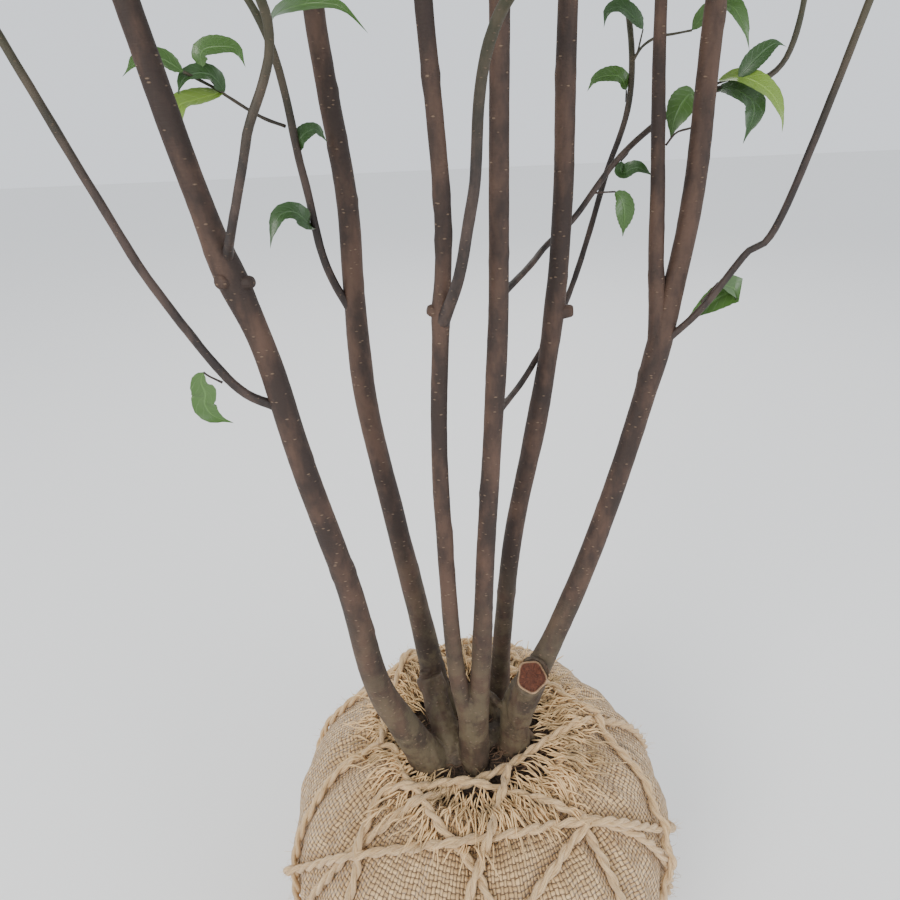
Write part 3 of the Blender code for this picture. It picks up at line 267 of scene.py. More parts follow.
# Outline of a crown leaf: (share of its length, half-width)
CROWN_OUTLINE = ((0.0, 0.0), (0.16, 0.62), (0.45, 1.0), (0.76, 0.58), (1.0, 0.0))
CROWN_FOLD, SHOWN_FOLD, SHOWN_TEETH = 0.22, 0.30, 0.025
SHOWN_ROWS = 25
SHOWN_FACING = Vector((0.0, -0.75, 0.65))
LEAF_TONES = {
    # name: upper colour, underside colour, share of the shoots
    "leaf_deep": ((0.030, 0.075, 0.018), (0.105, 0.165, 0.075), 0.52),
    "leaf_mid": ((0.055, 0.125, 0.022), (0.135, 0.210, 0.080), 0.33),
    "leaf_fresh": ((0.165, 0.270, 0.035), (0.230, 0.330, 0.090), 0.15),
}

# Leaves seen low in the crown: (middle line from the petiole to the tip, width in metres, tone)
SHOWN_LEAVES = (
    (((-.175, -.060, .781), (-.178, -.060, .774), (-.177, -.060, .765), (-.179, -.060, .758),
        (-.175, -.060, .749), (-.162, -.060, .743)), .017, "leaf_mid"),
    (((-.112, .060, .848), (-.115, .050, .855), (-.122, .045, .863), (-.132, .040, .862),
        (-.138, .035, .851), (-.141, .032, .840)), .015, "leaf_deep"),
    (((-.115, .058, .904), (-.112, .055, .912), (-.102, .060, .917), (-.095, .065, .908)), .013,
        "leaf_deep"),
    (((-.154, .028, .943), (-.169, .010, .939), (-.176, .000, .936), (-.179, -.005, .925),
        (-.185, -.010, .910)), .016, "leaf_fresh"),
    (((-.153, .028, .943), (-.159, .020, .953), (-.172, .012, .952), (-.178, .006, .941)), .014,
        "leaf_deep"),
    (((-.163, .020, .957), (-.161, .020, .966), (-.150, .020, .968), (-.139, .020, .966),
        (-.135, .020, .956)), .015, "leaf_mid"),
    (((-.125, .050, .974), (-.114, .035, .985), (-.096, .020, .988), (-.080, .015, .988),
        (-.067, .010, .984), (-.054, .010, .971)), .015, "leaf_mid"),
    (((.140, .100, .972), (.132, .100, .980), (.122, .100, .986), (.113, .100, .984),
        (.111, .100, .974)), .014, "leaf_deep"),
    (((.129, .092, .933), (.124, .090, .941), (.116, .090, .943), (.105, .090, .941),
        (.099, .090, .933)), .014, "leaf_mid"),
    (((.176, .100, .970), (.184, .093, .980), (.196, .084, .983), (.206, .079, .970),
        (.212, .078, .955)), .016, "leaf_mid"),
    (((.193, .080, .937), (.202, .070, .939), (.212, .060, .935), (.224, .055, .926),
        (.231, .050, .912), (.233, .050, .902)), .016, "leaf_fresh"),
    (((.193, .080, .932), (.203, .070, .930), (.214, .066, .923), (.216, .064, .913),
        (.210, .060, .895)), .019, "leaf_deep"),
    (((.176, .075, .928), (.170, .072, .928), (.163, .066, .921), (.158, .062, .911),
        (.156, .060, .899)), .020, "leaf_mid"),
    (((.116, .050, .867), (.121, .048, .861), (.123, .046, .851), (.123, .046, .835)), .015,
        "leaf_mid"),
    (((.121, .060, .887), (.121, .055, .879), (.131, .050, .883), (.144, .050, .876)), .012,
        "leaf_deep"),
    (((.187, .012, .806), (.204, .019, .798), (.196, .020, .794), (.178, .018, .783),
        (.166, .018, .773)), .020, "leaf_mid"),
    (((.203, .068, .938), (.214, .068, .950), (.226, .070, .958), (.236, .072, .956)), .014,
        "leaf_deep"),
    (((-.172, .010, .955), (-.182, .003, .962), (-.192, -.004, .962), (-.203, -.010, .953)), .014,
        "leaf_mid"),
)
# Thin leafy shoots and petioles seen low in the crown: (middle line, diameter)
SHOWN_SHOOTS = (
    (((-.122, .055, .920), (-.136, .045, .927), (-.153, .028, .941), (-.156, .025, .944),
        (-.172, .010, .955)), .0022),
    (((-.156, .025, .944), (-.160, .022, .951), (-.163, .020, .957)), .0013),
    (((-.125, .052, .966), (-.125, .050, .974)), .0016),
    (((-.164, -.060, .773), (-.172, -.060, .778), (-.175, -.060, .781)), .0015),
    (((-.110, .062, .842), (-.112, .060, .848)), .0014),
    (((-.116, .058, .896), (-.115, .058, .904)), .0014),
    (((.133, .097, .951), (.140, .098, .961), (.151, .098, .967), (.161, .098, .968),
        (.176, .100, .970)), .0020),
    (((.137, .098, .958), (.140, .100, .972)), .0014),
    (((.130, .094, .925), (.129, .092, .933)), .0014),
    (((.190, .080, .930), (.193, .080, .935), (.203, .068, .938)), .0016),
    (((.181, .077, .928), (.176, .075, .928)), .0014),
    (((.100, .055, .866), (.110, .050, .867), (.116, .050, .867)), .0014),
    (((.128, .063, .897), (.126, .062, .892), (.121, .060, .887)), .0014),
    (((.175, .008, .793), (.179, .008, .798), (.187, .012, .806)), .0015),
    (((.147, .040, .898), (.152, .036, .906), (.160, .030, .909)), .0015),
)

# Finishes: base colours in linear light
BARK_DARK, BARK_PALE = (0.024, 0.012, 0.008), (0.082, 0.043, 0.027)
BARK_LICHEN, LENTICEL = (0.118, 0.090, 0.050), (0.260, 0.175, 0.115)
YOUNG_DARK, YOUNG_PALE, YOUNG_GREEN = (0.016, 0.009, 0.007), (0.060, 0.036, 0.027), (0.060, 0.075, 0.020)
BURLAP_PALE, BURLAP_DARK, BURLAP_STAIN = (0.780, 0.530, 0.270), (0.130, 0.066, 0.026), (0.520, 0.325, 0.150)
ROPE_PALE, ROPE_DARK = (0.800, 0.560, 0.300), (0.380, 0.230, 0.100)
SOIL_DARK, SOIL_PALE = (0.030, 0.019, 0.013), (0.110, 0.070, 0.045)
CUT_RED, CUT_DARK, CUT_RIM = (0.105, 0.028, 0.011), (0.030, 0.010, 0.006), (0.400, 0.250, 0.140)
HAIR_ROOT = (0.160, 0.090, 0.050)
CROWN_TWIG = (0.080, 0.072, 0.034)
FLOOR = (0.860, 0.855, 0.840)
FLOOR_REACH = 9.0


def spline(knots, step):
    """Points a step apart along a smooth curve through the knots."""
    knots = [Vector(knot) for knot in knots]
    if len(knots) == 2:
        dense = [knots[0].lerp(knots[1], i / CURVE_STEPS) for i in range(CURVE_STEPS + 1)]
    else:
        ends = [knots[0] * 2 - knots[1]] + knots + [knots[-1] * 2 - knots[-2]]
        dense = []
        for a, b, c, d in zip(ends, ends[1:], ends[2:], ends[3:]):
            for i in range(CURVE_STEPS):
                t = i / CURVE_STEPS
                dense.append(0.5 * (2 * b + (c - a) * t + (2 * a - 5 * b + 4 * c - d) * t * t
                                    + (3 * b - a - 3 * c + d) * t ** 3))
        dense.append(knots[-1])
    lengths = [0.0]
    for a, b in zip(dense, dense[1:]):
        lengths.append(lengths[-1] + (b - a).length)
    count = max(1, round(lengths[-1] / step))
    points, at = [], 0
    for i in range(count + 1):
        want = lengths[-1] * i / count
        while at < len(lengths) - 2 and lengths[at + 1] < want:
            at += 1
        span = lengths[at + 1] - lengths[at]
        points.append(dense[at].lerp(dense[at + 1], (want - lengths[at]) / span if span else 0.0))
    return points


def tangents(points):
    """Direction of the curve at each point."""
    last = len(points) - 1
    return [(points[min(i + 1, last)] - points[max(i - 1, 0)]).normalized() for i in range(last + 1)]


def turn_difference(a, b):
    """Angle between two azimuths, in radians."""
    return abs((a - b + math.pi) % math.tau - math.pi)


def taper(start, end, count):
    """Even steps from start to end."""
    return [start + (end - start) * i / max(1, count - 1) for i in range(count)]


def level(azimuth):
    """The level direction at an azimuth."""
    return Vector((math.cos(azimuth), math.sin(azimuth), 0.0))


def nearest(places):
    """A search tree over places."""
    tree = KDTree(len(places))
    for i, place in enumerate(places):
        tree.insert(place, i)
    tree.balance()
    return tree


def ball_point(azimuth, height, radius):
    """A point of the burlap: the turned profile, with soft lobes and the bunched rim behind."""
    belly = math.sin(math.pi * min(1.0, height / BALL_PROFILE[-3][0]))
    lobes = 0.012 * math.sin(3 * azimuth + 0.8) + 0.008 * math.sin(5 * azimuth + 2.1)
    radius *= 1 + lobes * belly
    fold = 0.004 * math.sin(9 * azimuth + 0.5) if 0.09 < radius < 0.16 and height > 0.3 else 0.0
    shoulder = math.exp(-((radius - 0.115) / 0.030) ** 2) if height > 0.3 and radius > 0.078 else 0.0
    swell = RIM_SWELL * math.exp(-(turn_difference(azimuth, RIM_SWELL_AZIMUTH) / 0.75) ** 2) * shoulder
    return Vector((radius * math.cos(azimuth), radius * math.sin(azimuth), height + swell + fold * shoulder))


def crown_spaces():
    """Name, centre, half-width and half-height of each foliage mass."""
    spaces = {}
    for ring in CROWN_RINGS:
        for i, azimuth in enumerate(ring["azimuths"], 1):
            a = math.radians(azimuth)
            # Masses behind hang a little higher, and every other one is set in and up so that the rings
            # interlock.
            lift = 0.025 * math.sin(a) + (0.018 if i % 2 else -0.006)
            reach = ring["reach"] * (0.96 if i % 2 else 1.0)
            centre = Vector((reach * math.cos(a), reach * math.sin(a), ring["height"] + lift))
            spaces[f"{ring['name']}_{i}"] = (centre, ring["half_width"], ring["half_height"])
    top = CROWN_TOP
    spaces[top["name"]] = (Vector(top["centre"]), top["half_width"], top["half_height"])
    return spaces


def depth_in(space, point):
    """0 at the middle of a mass's space and 1 at its edge."""
    centre, half_width, half_height = space
    off = point - centre
    return math.sqrt((off.x ** 2 + off.y ** 2) / half_width ** 2 + off.z ** 2 / half_height ** 2)


def entry_of(space, came_from):
    """Where a limb coming from a point enters the mass's space: low on its inner side."""
    centre, half_width, half_height = space
    inward = came_from - centre
    inward.z = 0.0
    inward = inward.normalized() if inward.length > 0.01 else Vector((0.0, 0.0, 0.0))
    return centre + inward * half_width * 0.52 + Vector((0.0, 0.0, -half_height * 0.72))


def swelling(name, height):
    """Added diameter at a height, from the stem's knots and forks."""
    swellings = SWELLINGS.get(name, ())
    return sum(added * math.exp(-((height - at) / reach) ** 2) for at, added, reach in swellings)


def stem_radius(name, height, top):
    """Taper of a stem: even between the named girths, with the root flare below and the leader above."""
    low, high, flare = STEMS[name]["girth"]
    if height <= LEVELS[-1]:
        girth = low + (high - low) * (height - 0.58) / (LEVELS[-1] - 0.58)
        girth += flare * math.exp(-(height - SOIL_LEVEL) / FLARE_REACH)
    else:
        rise = (height - LEVELS[-1]) / (top - LEVELS[-1])
        girth = high + (LEADER_TIP_GIRTH - high) * rise
    return (girth + swelling(name, height)) / 2


def stem_knots(name, spaces):
    """The named places, then a rise that turns from the stem's lean toward its foliage mass."""
    stem = STEMS[name]
    knots = [Vector(place) for place in zip(stem["x"], stem["y"], LEVELS)]
    lean = (knots[-1] - knots[-3]) / (knots[-1].z - knots[-3].z)
    tip = entry_of(spaces[stem["mass"]], knots[-1])
    start = knots[-1]
    for t in (0.25, 0.5, 0.75):
        height = start.z + (tip.z - start.z) * t
        carried = start + lean * (height - start.z)
        aimed = start.lerp(tip, t)
        bend = t * t * (3 - 2 * t)
        sway = 0.006 * math.sin(5.0 * height + 30.0 * start.x)
        knots.append(carried.lerp(aimed, bend) + Vector((sway, sway * 0.6, 0.0)) * (1 - t))
    return knots + [tip]


def point_at_height(points, height):
    """Where a rising line crosses a height, and its direction there."""
    for a, b in zip(points, points[1:]):
        if a.z <= height <= b.z:
            return a.lerp(b, (height - a.z) / (b.z - a.z)), (b - a).normalized()
    return points[-1], (points[-1] - points[-2]).normalized()


def mass_stem(space, start, direction):
    """The mass's own stem: on from the bough's tip, through the middle, to the far side."""
    centre, half_width, half_height = space
    outward = Vector((centre.x, centre.y, 0.0))
    outward = outward.normalized() if outward.length > 0.06 else Vector((0.0, 0.0, 0.0))
    far = centre + outward * half_width * 0.60 + Vector((0.0, 0.0, half_height * 0.68))
    if outward.length < 0.5:
        far = centre + Vector((0.0, 0.0, half_height * 0.90))
    knots = [start + direction * 0.010, start + direction * 0.030, centre.lerp(far, 0.15), far]
    return [start] + spline(knots, MASS_STEM_STEP)


def side_twigs(space, stem, rng):
    """The side twigs' lines, round the stem by the golden angle, each cut short where its space ends."""
    lines = []
    along = tangents(stem)
    turn = rng.uniform(0.0, math.tau)
    for i in range(SIDE_TWIGS):
        share = 0.14 + 0.80 * i / (SIDE_TWIGS - 1)
        at = share * (len(stem) - 1)
        k = min(int(at), len(stem) - 2)
        root = stem[k].lerp(stem[k + 1], at - k)
        axis = along[k].lerp(along[k + 1], at - k).normalized()
        side = axis.orthogonal().normalized()
        side = Matrix.Rotation(turn, 3, axis) @ side
        turn += GOLDEN_ANGLE + rng.uniform(-0.25, 0.25)
        spread = TWIG_SPREAD[0] + (TWIG_SPREAD[1] - TWIG_SPREAD[0]) * share
        heading = axis * math.cos(spread) + side * math.sin(spread)
        reach = rng.uniform(0.85, 1.0) * 0.17 * (1.0 - 0.30 * share)
        tip = root + heading * reach + Vector((0.0, 0.0, 0.10 * reach))
        while depth_in(space, tip) > 0.90 and (tip - root).length > 0.03:
            tip = root.lerp(tip, 0.9)
        lines.append([root, tip])
    return lines


class Pile:
    """Collects the faces of one joined piece, with a place on the surface (u, v) for each corner."""

    def __init__(self):
        self.verts, self.faces, self.places = [], [], []

    def add(self, verts, faces, places):
        """Adds a shape; its faces count from its own first point."""
        first = len(self.verts)
        self.verts.extend(verts)
        self.faces.extend(tuple(first + k for k in face) for face in faces)
        self.places.extend(places)

    def piece(self, name, finish, slot, smooth=True):
        """Makes the mesh and its object, which rides on the one body."""
        mesh = bpy.data.meshes.new(name)
        mesh.from_pydata([tuple(v) for v in self.verts], [], self.faces)
        corners = [0] * len(mesh.loops)
        mesh.loops.foreach_get("vertex_index", corners)
        flat = [value for corner in corners for value in self.places[corner]]
        mesh.uv_layers.new(name="surface").data.foreach_set("uv", flat)
        mesh.materials.append(finish)
        if smooth:
            mesh.shade_smooth()
        made = bpy.data.objects.new(name, mesh)
        bpy.context.scene.collection.objects.link(made)
        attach(made, "root")
        return made


def band_faces(rows, sides):
    """Four-sided faces between rows of points that each go once round."""
    faces = []
    for low in range(0, (rows - 1) * sides, sides):
        for k in range(sides):
            n = (k + 1) % sides
            faces.append((low + k, low + n, low + sides + n, low + sides + k))
    return faces


def disc_faces(rings, sides):
    """Faces of a disc: a fan round the first point, then ring by ring."""
    faces = [(0, 1 + k, 1 + (k + 1) % sides) for k in range(sides)]
    for low in range(1, 1 + (rings - 1) * sides, sides):
        for k in range(sides):
            n = (k + 1) % sides
            faces.append((low + k, low + sides + k, low + sides + n, low + n))
    return faces


def add_tube(pile, points, radii, sides, relief=None):
    """A closed tube whose rings are carried along without twist; relief moves each point in or out."""
    along = tangents(points)
    across = along[0].orthogonal().normalized()
    verts, places, travelled = [], [], 0.0
    for i, (point, radius) in enumerate(zip(points, radii)):
        if i:
            across = (along[i - 1].rotation_difference(along[i]) @ across).normalized()
            travelled += (point - points[i - 1]).length
        beside = along[i].cross(across).normalized()
        for k in range(sides):
            angle = math.tau * k / sides
            out = across * math.cos(angle) + beside * math.sin(angle)
            swell = relief(point + out * radius) if relief else 0.0
            verts.append(point + out * (radius + swell))
            places.append((k / sides, travelled))
    faces = band_faces(len(points), sides)
    faces.append(tuple(reversed(range(sides))))
    faces.append(tuple(range(len(verts) - sides, len(verts))))
    pile.add(verts, faces, places)


def rough(place, across, up=None):
    """Smooth noise between -1 and 1 at a place, with its own scale across and up."""
    up = across if up is None else up
    return noise.noise(Vector((place.x * across, place.y * across, place.z * up)))


def bark_relief(place):
    """Long low ridges, fine level wrinkles, and a rougher foot."""
    foot = math.exp(-max(0.0, place.z - SOIL_LEVEL) / 0.10)
    ridges = rough(place, 95, 22) * (0.00035 + 0.0007 * foot)
    wrinkles = rough(place, 60, 520) * 0.00016
    nodes = max(0.0, rough(place, 34, 60) - 0.35) * 0.0022
    return ridges + wrinkles + nodes


def fine_relief(place):
    """Faint ridges and level wrinkles of thin bark."""
    return rough(place, 160, 60) * 0.00022 + rough(place, 90, 620) * 0.00010


def set_input(tree, socket, value):
    """Links an output to a socket, or sets a number, vector or colour there."""
    if isinstance(value, bpy.types.NodeSocket):
        tree.links.new(value, socket)
    elif isinstance(value, tuple) and socket.type == "RGBA":
        socket.default_value = (*value, 1.0)
    else:
        socket.default_value = value


def node(tree, kind, **inputs):
    """Adds a shader node; each input is named, or numbered as i0, i1 and so on."""
    made = tree.nodes.new(kind)
    for name, value in inputs.items():
        numbered = name[1:].isdigit()
        set_input(tree, made.inputs[int(name[1:])] if numbered else made.inputs[name], value)
    return made


def maths(tree, operation, a, b=0.0):
    """One step of arithmetic."""
    made = node(tree, "ShaderNodeMath", i0=a, i1=b)
    made.operation = operation
    return made.outputs[0]


def inverse(tree, share):
    """1 where a share is 0, and 0 where it is 1."""
    return maths(tree, "SUBTRACT", 1.0, share)


def mixed(tree, share, a, b):
    """Colour a where share is 0 and colour b where it is 1."""
    made = tree.nodes.new("ShaderNodeMix")
    made.data_type = "RGBA"
    for socket, value in ((made.inputs[0], share), (made.inputs[6], a), (made.inputs[7], b)):
        set_input(tree, socket, value)
    return made.outputs[2]


def covered(tree, base, colour, mask, strength):
    """The base colour with another laid over it where the mask is high."""
    return mixed(tree, maths(tree, "MULTIPLY", mask, strength), base, colour)


def step(tree, value, low, high):
    """0 below low, 1 above high, even between."""
    made = node(tree, "ShaderNodeMapRange", i0=value, i1=low, i2=high)
    made.interpolation_type = "SMOOTHSTEP"
    return made.outputs[0]


def stretched(tree, place, factors):
    """A place scaled by its own factor along each axis."""
    made = node(tree, "ShaderNodeVectorMath", i0=place, i1=factors)
    made.operation = "MULTIPLY"
    return made.outputs[0]


def clouds(tree, place, scale, detail, roughness=0.5):
    """Soft noise over a place."""
    made = node(tree, "ShaderNodeTexNoise", Vector=place, Scale=scale, Detail=detail, Roughness=roughness)
    return made.outputs[0]


def object_place(tree):
    """The place in space, in metres."""
    return tree.nodes.new("ShaderNodeTexCoord").outputs["Object"]


def surface_place(tree):
    """The place on the surface: round it and along it."""
    made = tree.nodes.new("ShaderNodeUVMap")
    made.uv_map = "surface"
    return made.outputs[0]


def new_group(name, inputs, outputs):
    """An effect with named inputs (name, kind, value) and outputs (name, kind)."""
    group = bpy.data.node_groups.new(name, "ShaderNodeTree")
    for label, kind, value in inputs:
        socket = group.interface.new_socket(label, in_out="INPUT", socket_type=kind)
        if value is not None:
            socket.default_value = value
    for label, kind in outputs:
        group.interface.new_socket(label, in_out="OUTPUT", socket_type=kind)
    return group, group.nodes.new("NodeGroupInput"), group.nodes.new("NodeGroupOutput")


def bark_marks_group():
    """Level wrinkles, pale lenticels and blotches, by place on the limb."""
    group, given, out = new_group(
        "bark_marks",
        (("Place", "NodeSocketVector", None), ("Scale", "NodeSocketFloat", 1.0)),
        (("Blotches", "NodeSocketFloat"), ("Lenticels", "NodeSocketFloat"), ("Height", "NodeSocketFloat")))
    scaling = node(group, "ShaderNodeVectorMath", i0=given.outputs["Place"])
    scaling.operation = "SCALE"
    group.links.new(given.outputs["Scale"], scaling.inputs["Scale"])
    place = scaling.outputs[0]
    blotches_at = stretched(group, place, (38.0, 38.0, 17.0))
    blotches = clouds(group, blotches_at, scale=1.0, detail=5.0, roughness=0.62)
    wrinkles_at = stretched(group, place, (70.0, 70.0, 780.0))
    wrinkles = clouds(group, wrinkles_at, scale=1.0, detail=3.0, roughness=0.6)
    pores_at = stretched(group, place, (120.0, 120.0, 260.0))
    pores = node(group, "ShaderNodeTexVoronoi", Vector=pores_at, Scale=1.0, Randomness=1.0).outputs[0]
    lenticels = inverse(group, step(group, pores, 0.08, 0.20))
    height = maths(group, "MULTIPLY", wrinkles, 0.5)
    height = maths(group, "ADD", height, maths(group, "MULTIPLY", lenticels, 0.55))
    height = maths(group, "ADD", height, maths(group, "MULTIPLY", blotches, 0.4))
    group.links.new(step(group, blotches, 0.38, 0.66), out.inputs["Blotches"])
    group.links.new(lenticels, out.inputs["Lenticels"])
    group.links.new(height, out.inputs["Height"])
    return group


def thread_on_top(group, thread, crossing, shown):
    """Height of a thread where it lies on top, lower toward the edges of the thread under it."""
    arch = maths(group, "ADD", 0.55, maths(group, "MULTIPLY", crossing, 0.45))
    return maths(group, "MULTIPLY", maths(group, "MULTIPLY", thread, shown), arch)


def weave_group():
    """Plain weave: threads over and under each other, of uneven thickness, with gaps between."""
    group, given, out = new_group(
        "plain_weave",
        (("Place", "NodeSocketVector", None), ("Pitch", "NodeSocketFloat", 0.002)),
        (("Height", "NodeSocketFloat"), ("Gaps", "NodeSocketFloat"), ("Slubs", "NodeSocketFloat")))
    wander = clouds(group, given.outputs["Place"], scale=95.0, detail=2.0)
    shift = maths(group, "MULTIPLY", wander, 0.0026)
    split = node(group, "ShaderNodeSeparateXYZ", i0=given.outputs["Place"])
    numbers, rounds = [], []
    for place in (split.outputs[0], split.outputs[1]):
        count = maths(group, "DIVIDE", maths(group, "ADD", place, shift), given.outputs["Pitch"])
        numbers.append(maths(group, "FLOOR", count))
        rounds.append(maths(group, "SINE", maths(group, "MULTIPLY", maths(group, "FRACT", count), math.pi)))
    warp, weft = rounds
    over = maths(group, "ABSOLUTE", maths(group, "MODULO", maths(group, "ADD", *numbers), 2.0))
    over_warp = thread_on_top(group, warp, weft, over)
    over_weft = thread_on_top(group, weft, warp, inverse(group, over))
    height = maths(group, "ADD", over_warp, over_weft)
    threads = node(group, "ShaderNodeCombineXYZ", i0=numbers[0], i1=numbers[1])
    slubs = clouds(group, threads.outputs[0], scale=0.37, detail=4.0, roughness=0.7)
    group.links.new(height, out.inputs["Height"])
    group.links.new(inverse(group, step(group, height, 0.26, 0.56)), out.inputs["Gaps"])
    group.links.new(step(group, slubs, 0.36, 0.64), out.inputs["Slubs"])
    return group


def stains_group():
    """Broad damp and dusty patches, used on burlap, rope and soil."""
    group, given, out = new_group(
        "stains",
        (("Place", "NodeSocketVector", None), ("Scale", "NodeSocketFloat", 12.0)),
        (("Patches", "NodeSocketFloat"), ("Grit", "NodeSocketFloat")))
    place = given.outputs["Place"]
    patches = clouds(group, place, scale=given.outputs["Scale"], detail=6.0, roughness=0.6)
    group.links.new(step(group, patches, 0.42, 0.66), out.inputs["Patches"])
    group.links.new(clouds(group, place, scale=420.0, detail=3.0, roughness=0.7), out.inputs["Grit"])
    return group


def new_finish(name, roughness):
    """A new material, its node tree and its shader."""
    finish = bpy.data.materials.new(name)
    finish.use_nodes = True
    shader = finish.node_tree.nodes["Principled BSDF"]
    shader.inputs["Roughness"].default_value = roughness
    return finish, finish.node_tree, shader


def placed(tree, group, **inputs):
    """Places an effect in a material and gives its outputs."""
    made = tree.nodes.new("ShaderNodeGroup")
    made.node_tree = group
    for label, value in inputs.items():
        set_input(tree, made.inputs[label], value)
    return made.outputs


def raise_surface(tree, shader, height, distance, strength=1.0):
    """Relief from a height, by a distance in metres."""
    bump = node(tree, "ShaderNodeBump", Height=height, Strength=strength, Distance=distance)
    tree.links.new(bump.outputs[0], shader.inputs["Normal"])


def bark_finish(marks):
    """Dark brown bark with pale lenticels; grey-olive near the foot, where algae grow."""
    finish, tree, shader = new_finish("bark_finish", 0.72)
    place = object_place(tree)
    seen = placed(tree, marks, Place=place)
    height = node(tree, "ShaderNodeSeparateXYZ", i0=place).outputs[2]
    foot = inverse(tree, step(tree, height, 0.34, 0.60))
    crust = clouds(tree, place, scale=46.0, detail=6.0, roughness=0.68)
    cover = maths(tree, "MULTIPLY", foot, maths(tree, "ADD", 0.25, step(tree, crust, 0.40, 0.60)))
    base = mixed(tree, seen["Blotches"], BARK_DARK, BARK_PALE)
    base = covered(tree, base, BARK_LICHEN, cover, 0.75)
    base = covered(tree, base, LENTICEL, seen["Lenticels"], 0.55)
    tree.links.new(base, shader.inputs["Base Color"])
    raise_surface(tree, shader, seen["Height"], 0.0011, 0.9)
    return finish


def young_bark_finish(marks):
    """Dark thin bark of the boughs that turns green toward the young tips."""
    finish, tree, shader = new_finish("young_bark_finish", 0.6)
    place = object_place(tree)
    seen = placed(tree, marks, Place=place, Scale=1.6)
    height = node(tree, "ShaderNodeSeparateXYZ", i0=place).outputs[2]
    base = mixed(tree, seen["Blotches"], YOUNG_DARK, YOUNG_PALE)
    base = covered(tree, base, YOUNG_GREEN, step(tree, height, 0.88, 1.02), 0.4)
    base = covered(tree, base, LENTICEL, seen["Lenticels"], 0.30)
    tree.links.new(base, shader.inputs["Base Color"])
    raise_surface(tree, shader, seen["Height"], 0.0006, 0.8)
    return finish


def twig_finish():
    """Green-brown bark of the fine crown twigs."""
    finish, _, shader = new_finish("crown_twig_finish", 0.6)
    shader.inputs["Base Color"].default_value = (*CROWN_TWIG, 1.0)
    return finish


def burlap_finish(weave, stains):
    """Loosely woven jute cloth with dark gaps, slubs and damp patches."""
    finish, tree, shader = new_finish("burlap_finish", 0.95)
    cloth = placed(tree, weave, Place=surface_place(tree), Pitch=WEAVE_PITCH)
    soiled = placed(tree, stains, Place=object_place(tree), Scale=11.0)
    base = mixed(tree, cloth["Slubs"], BURLAP_STAIN, BURLAP_PALE)
    base = covered(tree, base, BURLAP_STAIN, soiled["Patches"], 0.38)
    base = covered(tree, base, BURLAP_DARK, cloth["Gaps"], 0.92)
    tree.links.new(base, shader.inputs["Base Color"])
    raise_surface(tree, shader, cloth["Height"], 0.0022)
    shader.inputs["Sheen Weight"].default_value = 0.25
    return finish


def rope_finish(stains):
    """Jute: fibres that run along the twisted strands."""
    finish, tree, shader = new_finish("rope_finish", 0.9)
    fibres_at = stretched(tree, surface_place(tree), (26.0, 90.0, 1.0))
    fibres = clouds(tree, fibres_at, scale=1.0, detail=4.0, roughness=0.7)
    soiled = placed(tree, stains, Place=object_place(tree), Scale=16.0)
    base = mixed(tree, step(tree, fibres, 0.34, 0.62), ROPE_DARK, ROPE_PALE)
    base = covered(tree, base, BURLAP_STAIN, soiled["Patches"], 0.3)
    tree.links.new(base, shader.inputs["Base Color"])
    raise_surface(tree, shader, fibres, 0.0009)
    shader.inputs["Sheen Weight"].default_value = 0.3
    return finish


def soil_finish(stains):
    """Dark crumbly soil."""
    finish, tree, shader = new_finish("soil_finish", 0.97)
    soiled = placed(tree, stains, Place=object_place(tree), Scale=60.0)
    base = mixed(tree, step(tree, soiled["Grit"], 0.42, 0.68), SOIL_DARK, SOIL_PALE)
    base = covered(tree, base, SOIL_DARK, soiled["Patches"], 0.35)
    tree.links.new(base, shader.inputs["Base Color"])
    raise_surface(tree, shader, soiled["Grit"], 0.0022)
    return finish


def plain_finish(name, colour, roughness, stains):
    """Dry fibre: one colour with darker patches and fine grit."""
    finish, tree, shader = new_finish(name, roughness)
    soiled = placed(tree, stains, Place=object_place(tree), Scale=30.0)
    darker = tuple(c * 0.45 for c in colour)
    tree.links.new(mixed(tree, soiled["Patches"], colour, darker), shader.inputs["Base Color"])
    raise_surface(tree, shader, soiled["Grit"], 0.0006, 0.6)
    return finish


def saw_cut_finish():
    """Old sawn wood: red-brown, with dark cracks from the middle and a pale rim of bark."""
    finish, tree, shader = new_finish("saw_cut_finish", 0.8)
    split = node(tree, "ShaderNodeSeparateXYZ", i0=surface_place(tree))
    turn, out = split.outputs[0], split.outputs[1]
    around, outward = maths(tree, "MULTIPLY", turn, 9.0), maths(tree, "MULTIPLY", out, 1.2)
    rays = node(tree, "ShaderNodeCombineXYZ", i0=around, i1=outward).outputs[0]
    grain = clouds(tree, rays, scale=2.2, detail=3.0, roughness=0.6)
    beside = maths(tree, "ABSOLUTE", maths(tree, "SUBTRACT", grain, 0.5))
    cracks = inverse(tree, step(tree, beside, 0.006, 0.030))
    base = mixed(tree, step(tree, grain, 0.35, 0.68), CUT_RED, tuple(c * 1.35 for c in CUT_RED))
    base = covered(tree, base, CUT_DARK, cracks, 0.9)
    base = mixed(tree, step(tree, out, 0.80, 0.92), base, CUT_RIM)
    tree.links.new(base, shader.inputs["Base Color"])
    raise_surface(tree, shader, inverse(tree, cracks), 0.0008, 0.8)
    return finish


def vein_lines(tree):
    """A midrib and slanting side veins, by place on the leaf."""
    split = node(tree, "ShaderNodeSeparateXYZ", i0=surface_place(tree))
    off = maths(tree, "ABSOLUTE", maths(tree, "SUBTRACT", split.outputs[0], 0.5))
    midrib = inverse(tree, step(tree, off, 0.015, 0.06))
    slant = maths(tree, "SUBTRACT", split.outputs[1], maths(tree, "MULTIPLY", off, 0.35))
    saw = maths(tree, "FRACT", maths(tree, "MULTIPLY", slant, 9.0))
    beside = maths(tree, "ABSOLUTE", maths(tree, "SUBTRACT", saw, 0.5))
    veins = inverse(tree, step(tree, beside, 0.02, 0.10))
    return maths(tree, "MAXIMUM", midrib, maths(tree, "MULTIPLY", veins, 0.4))


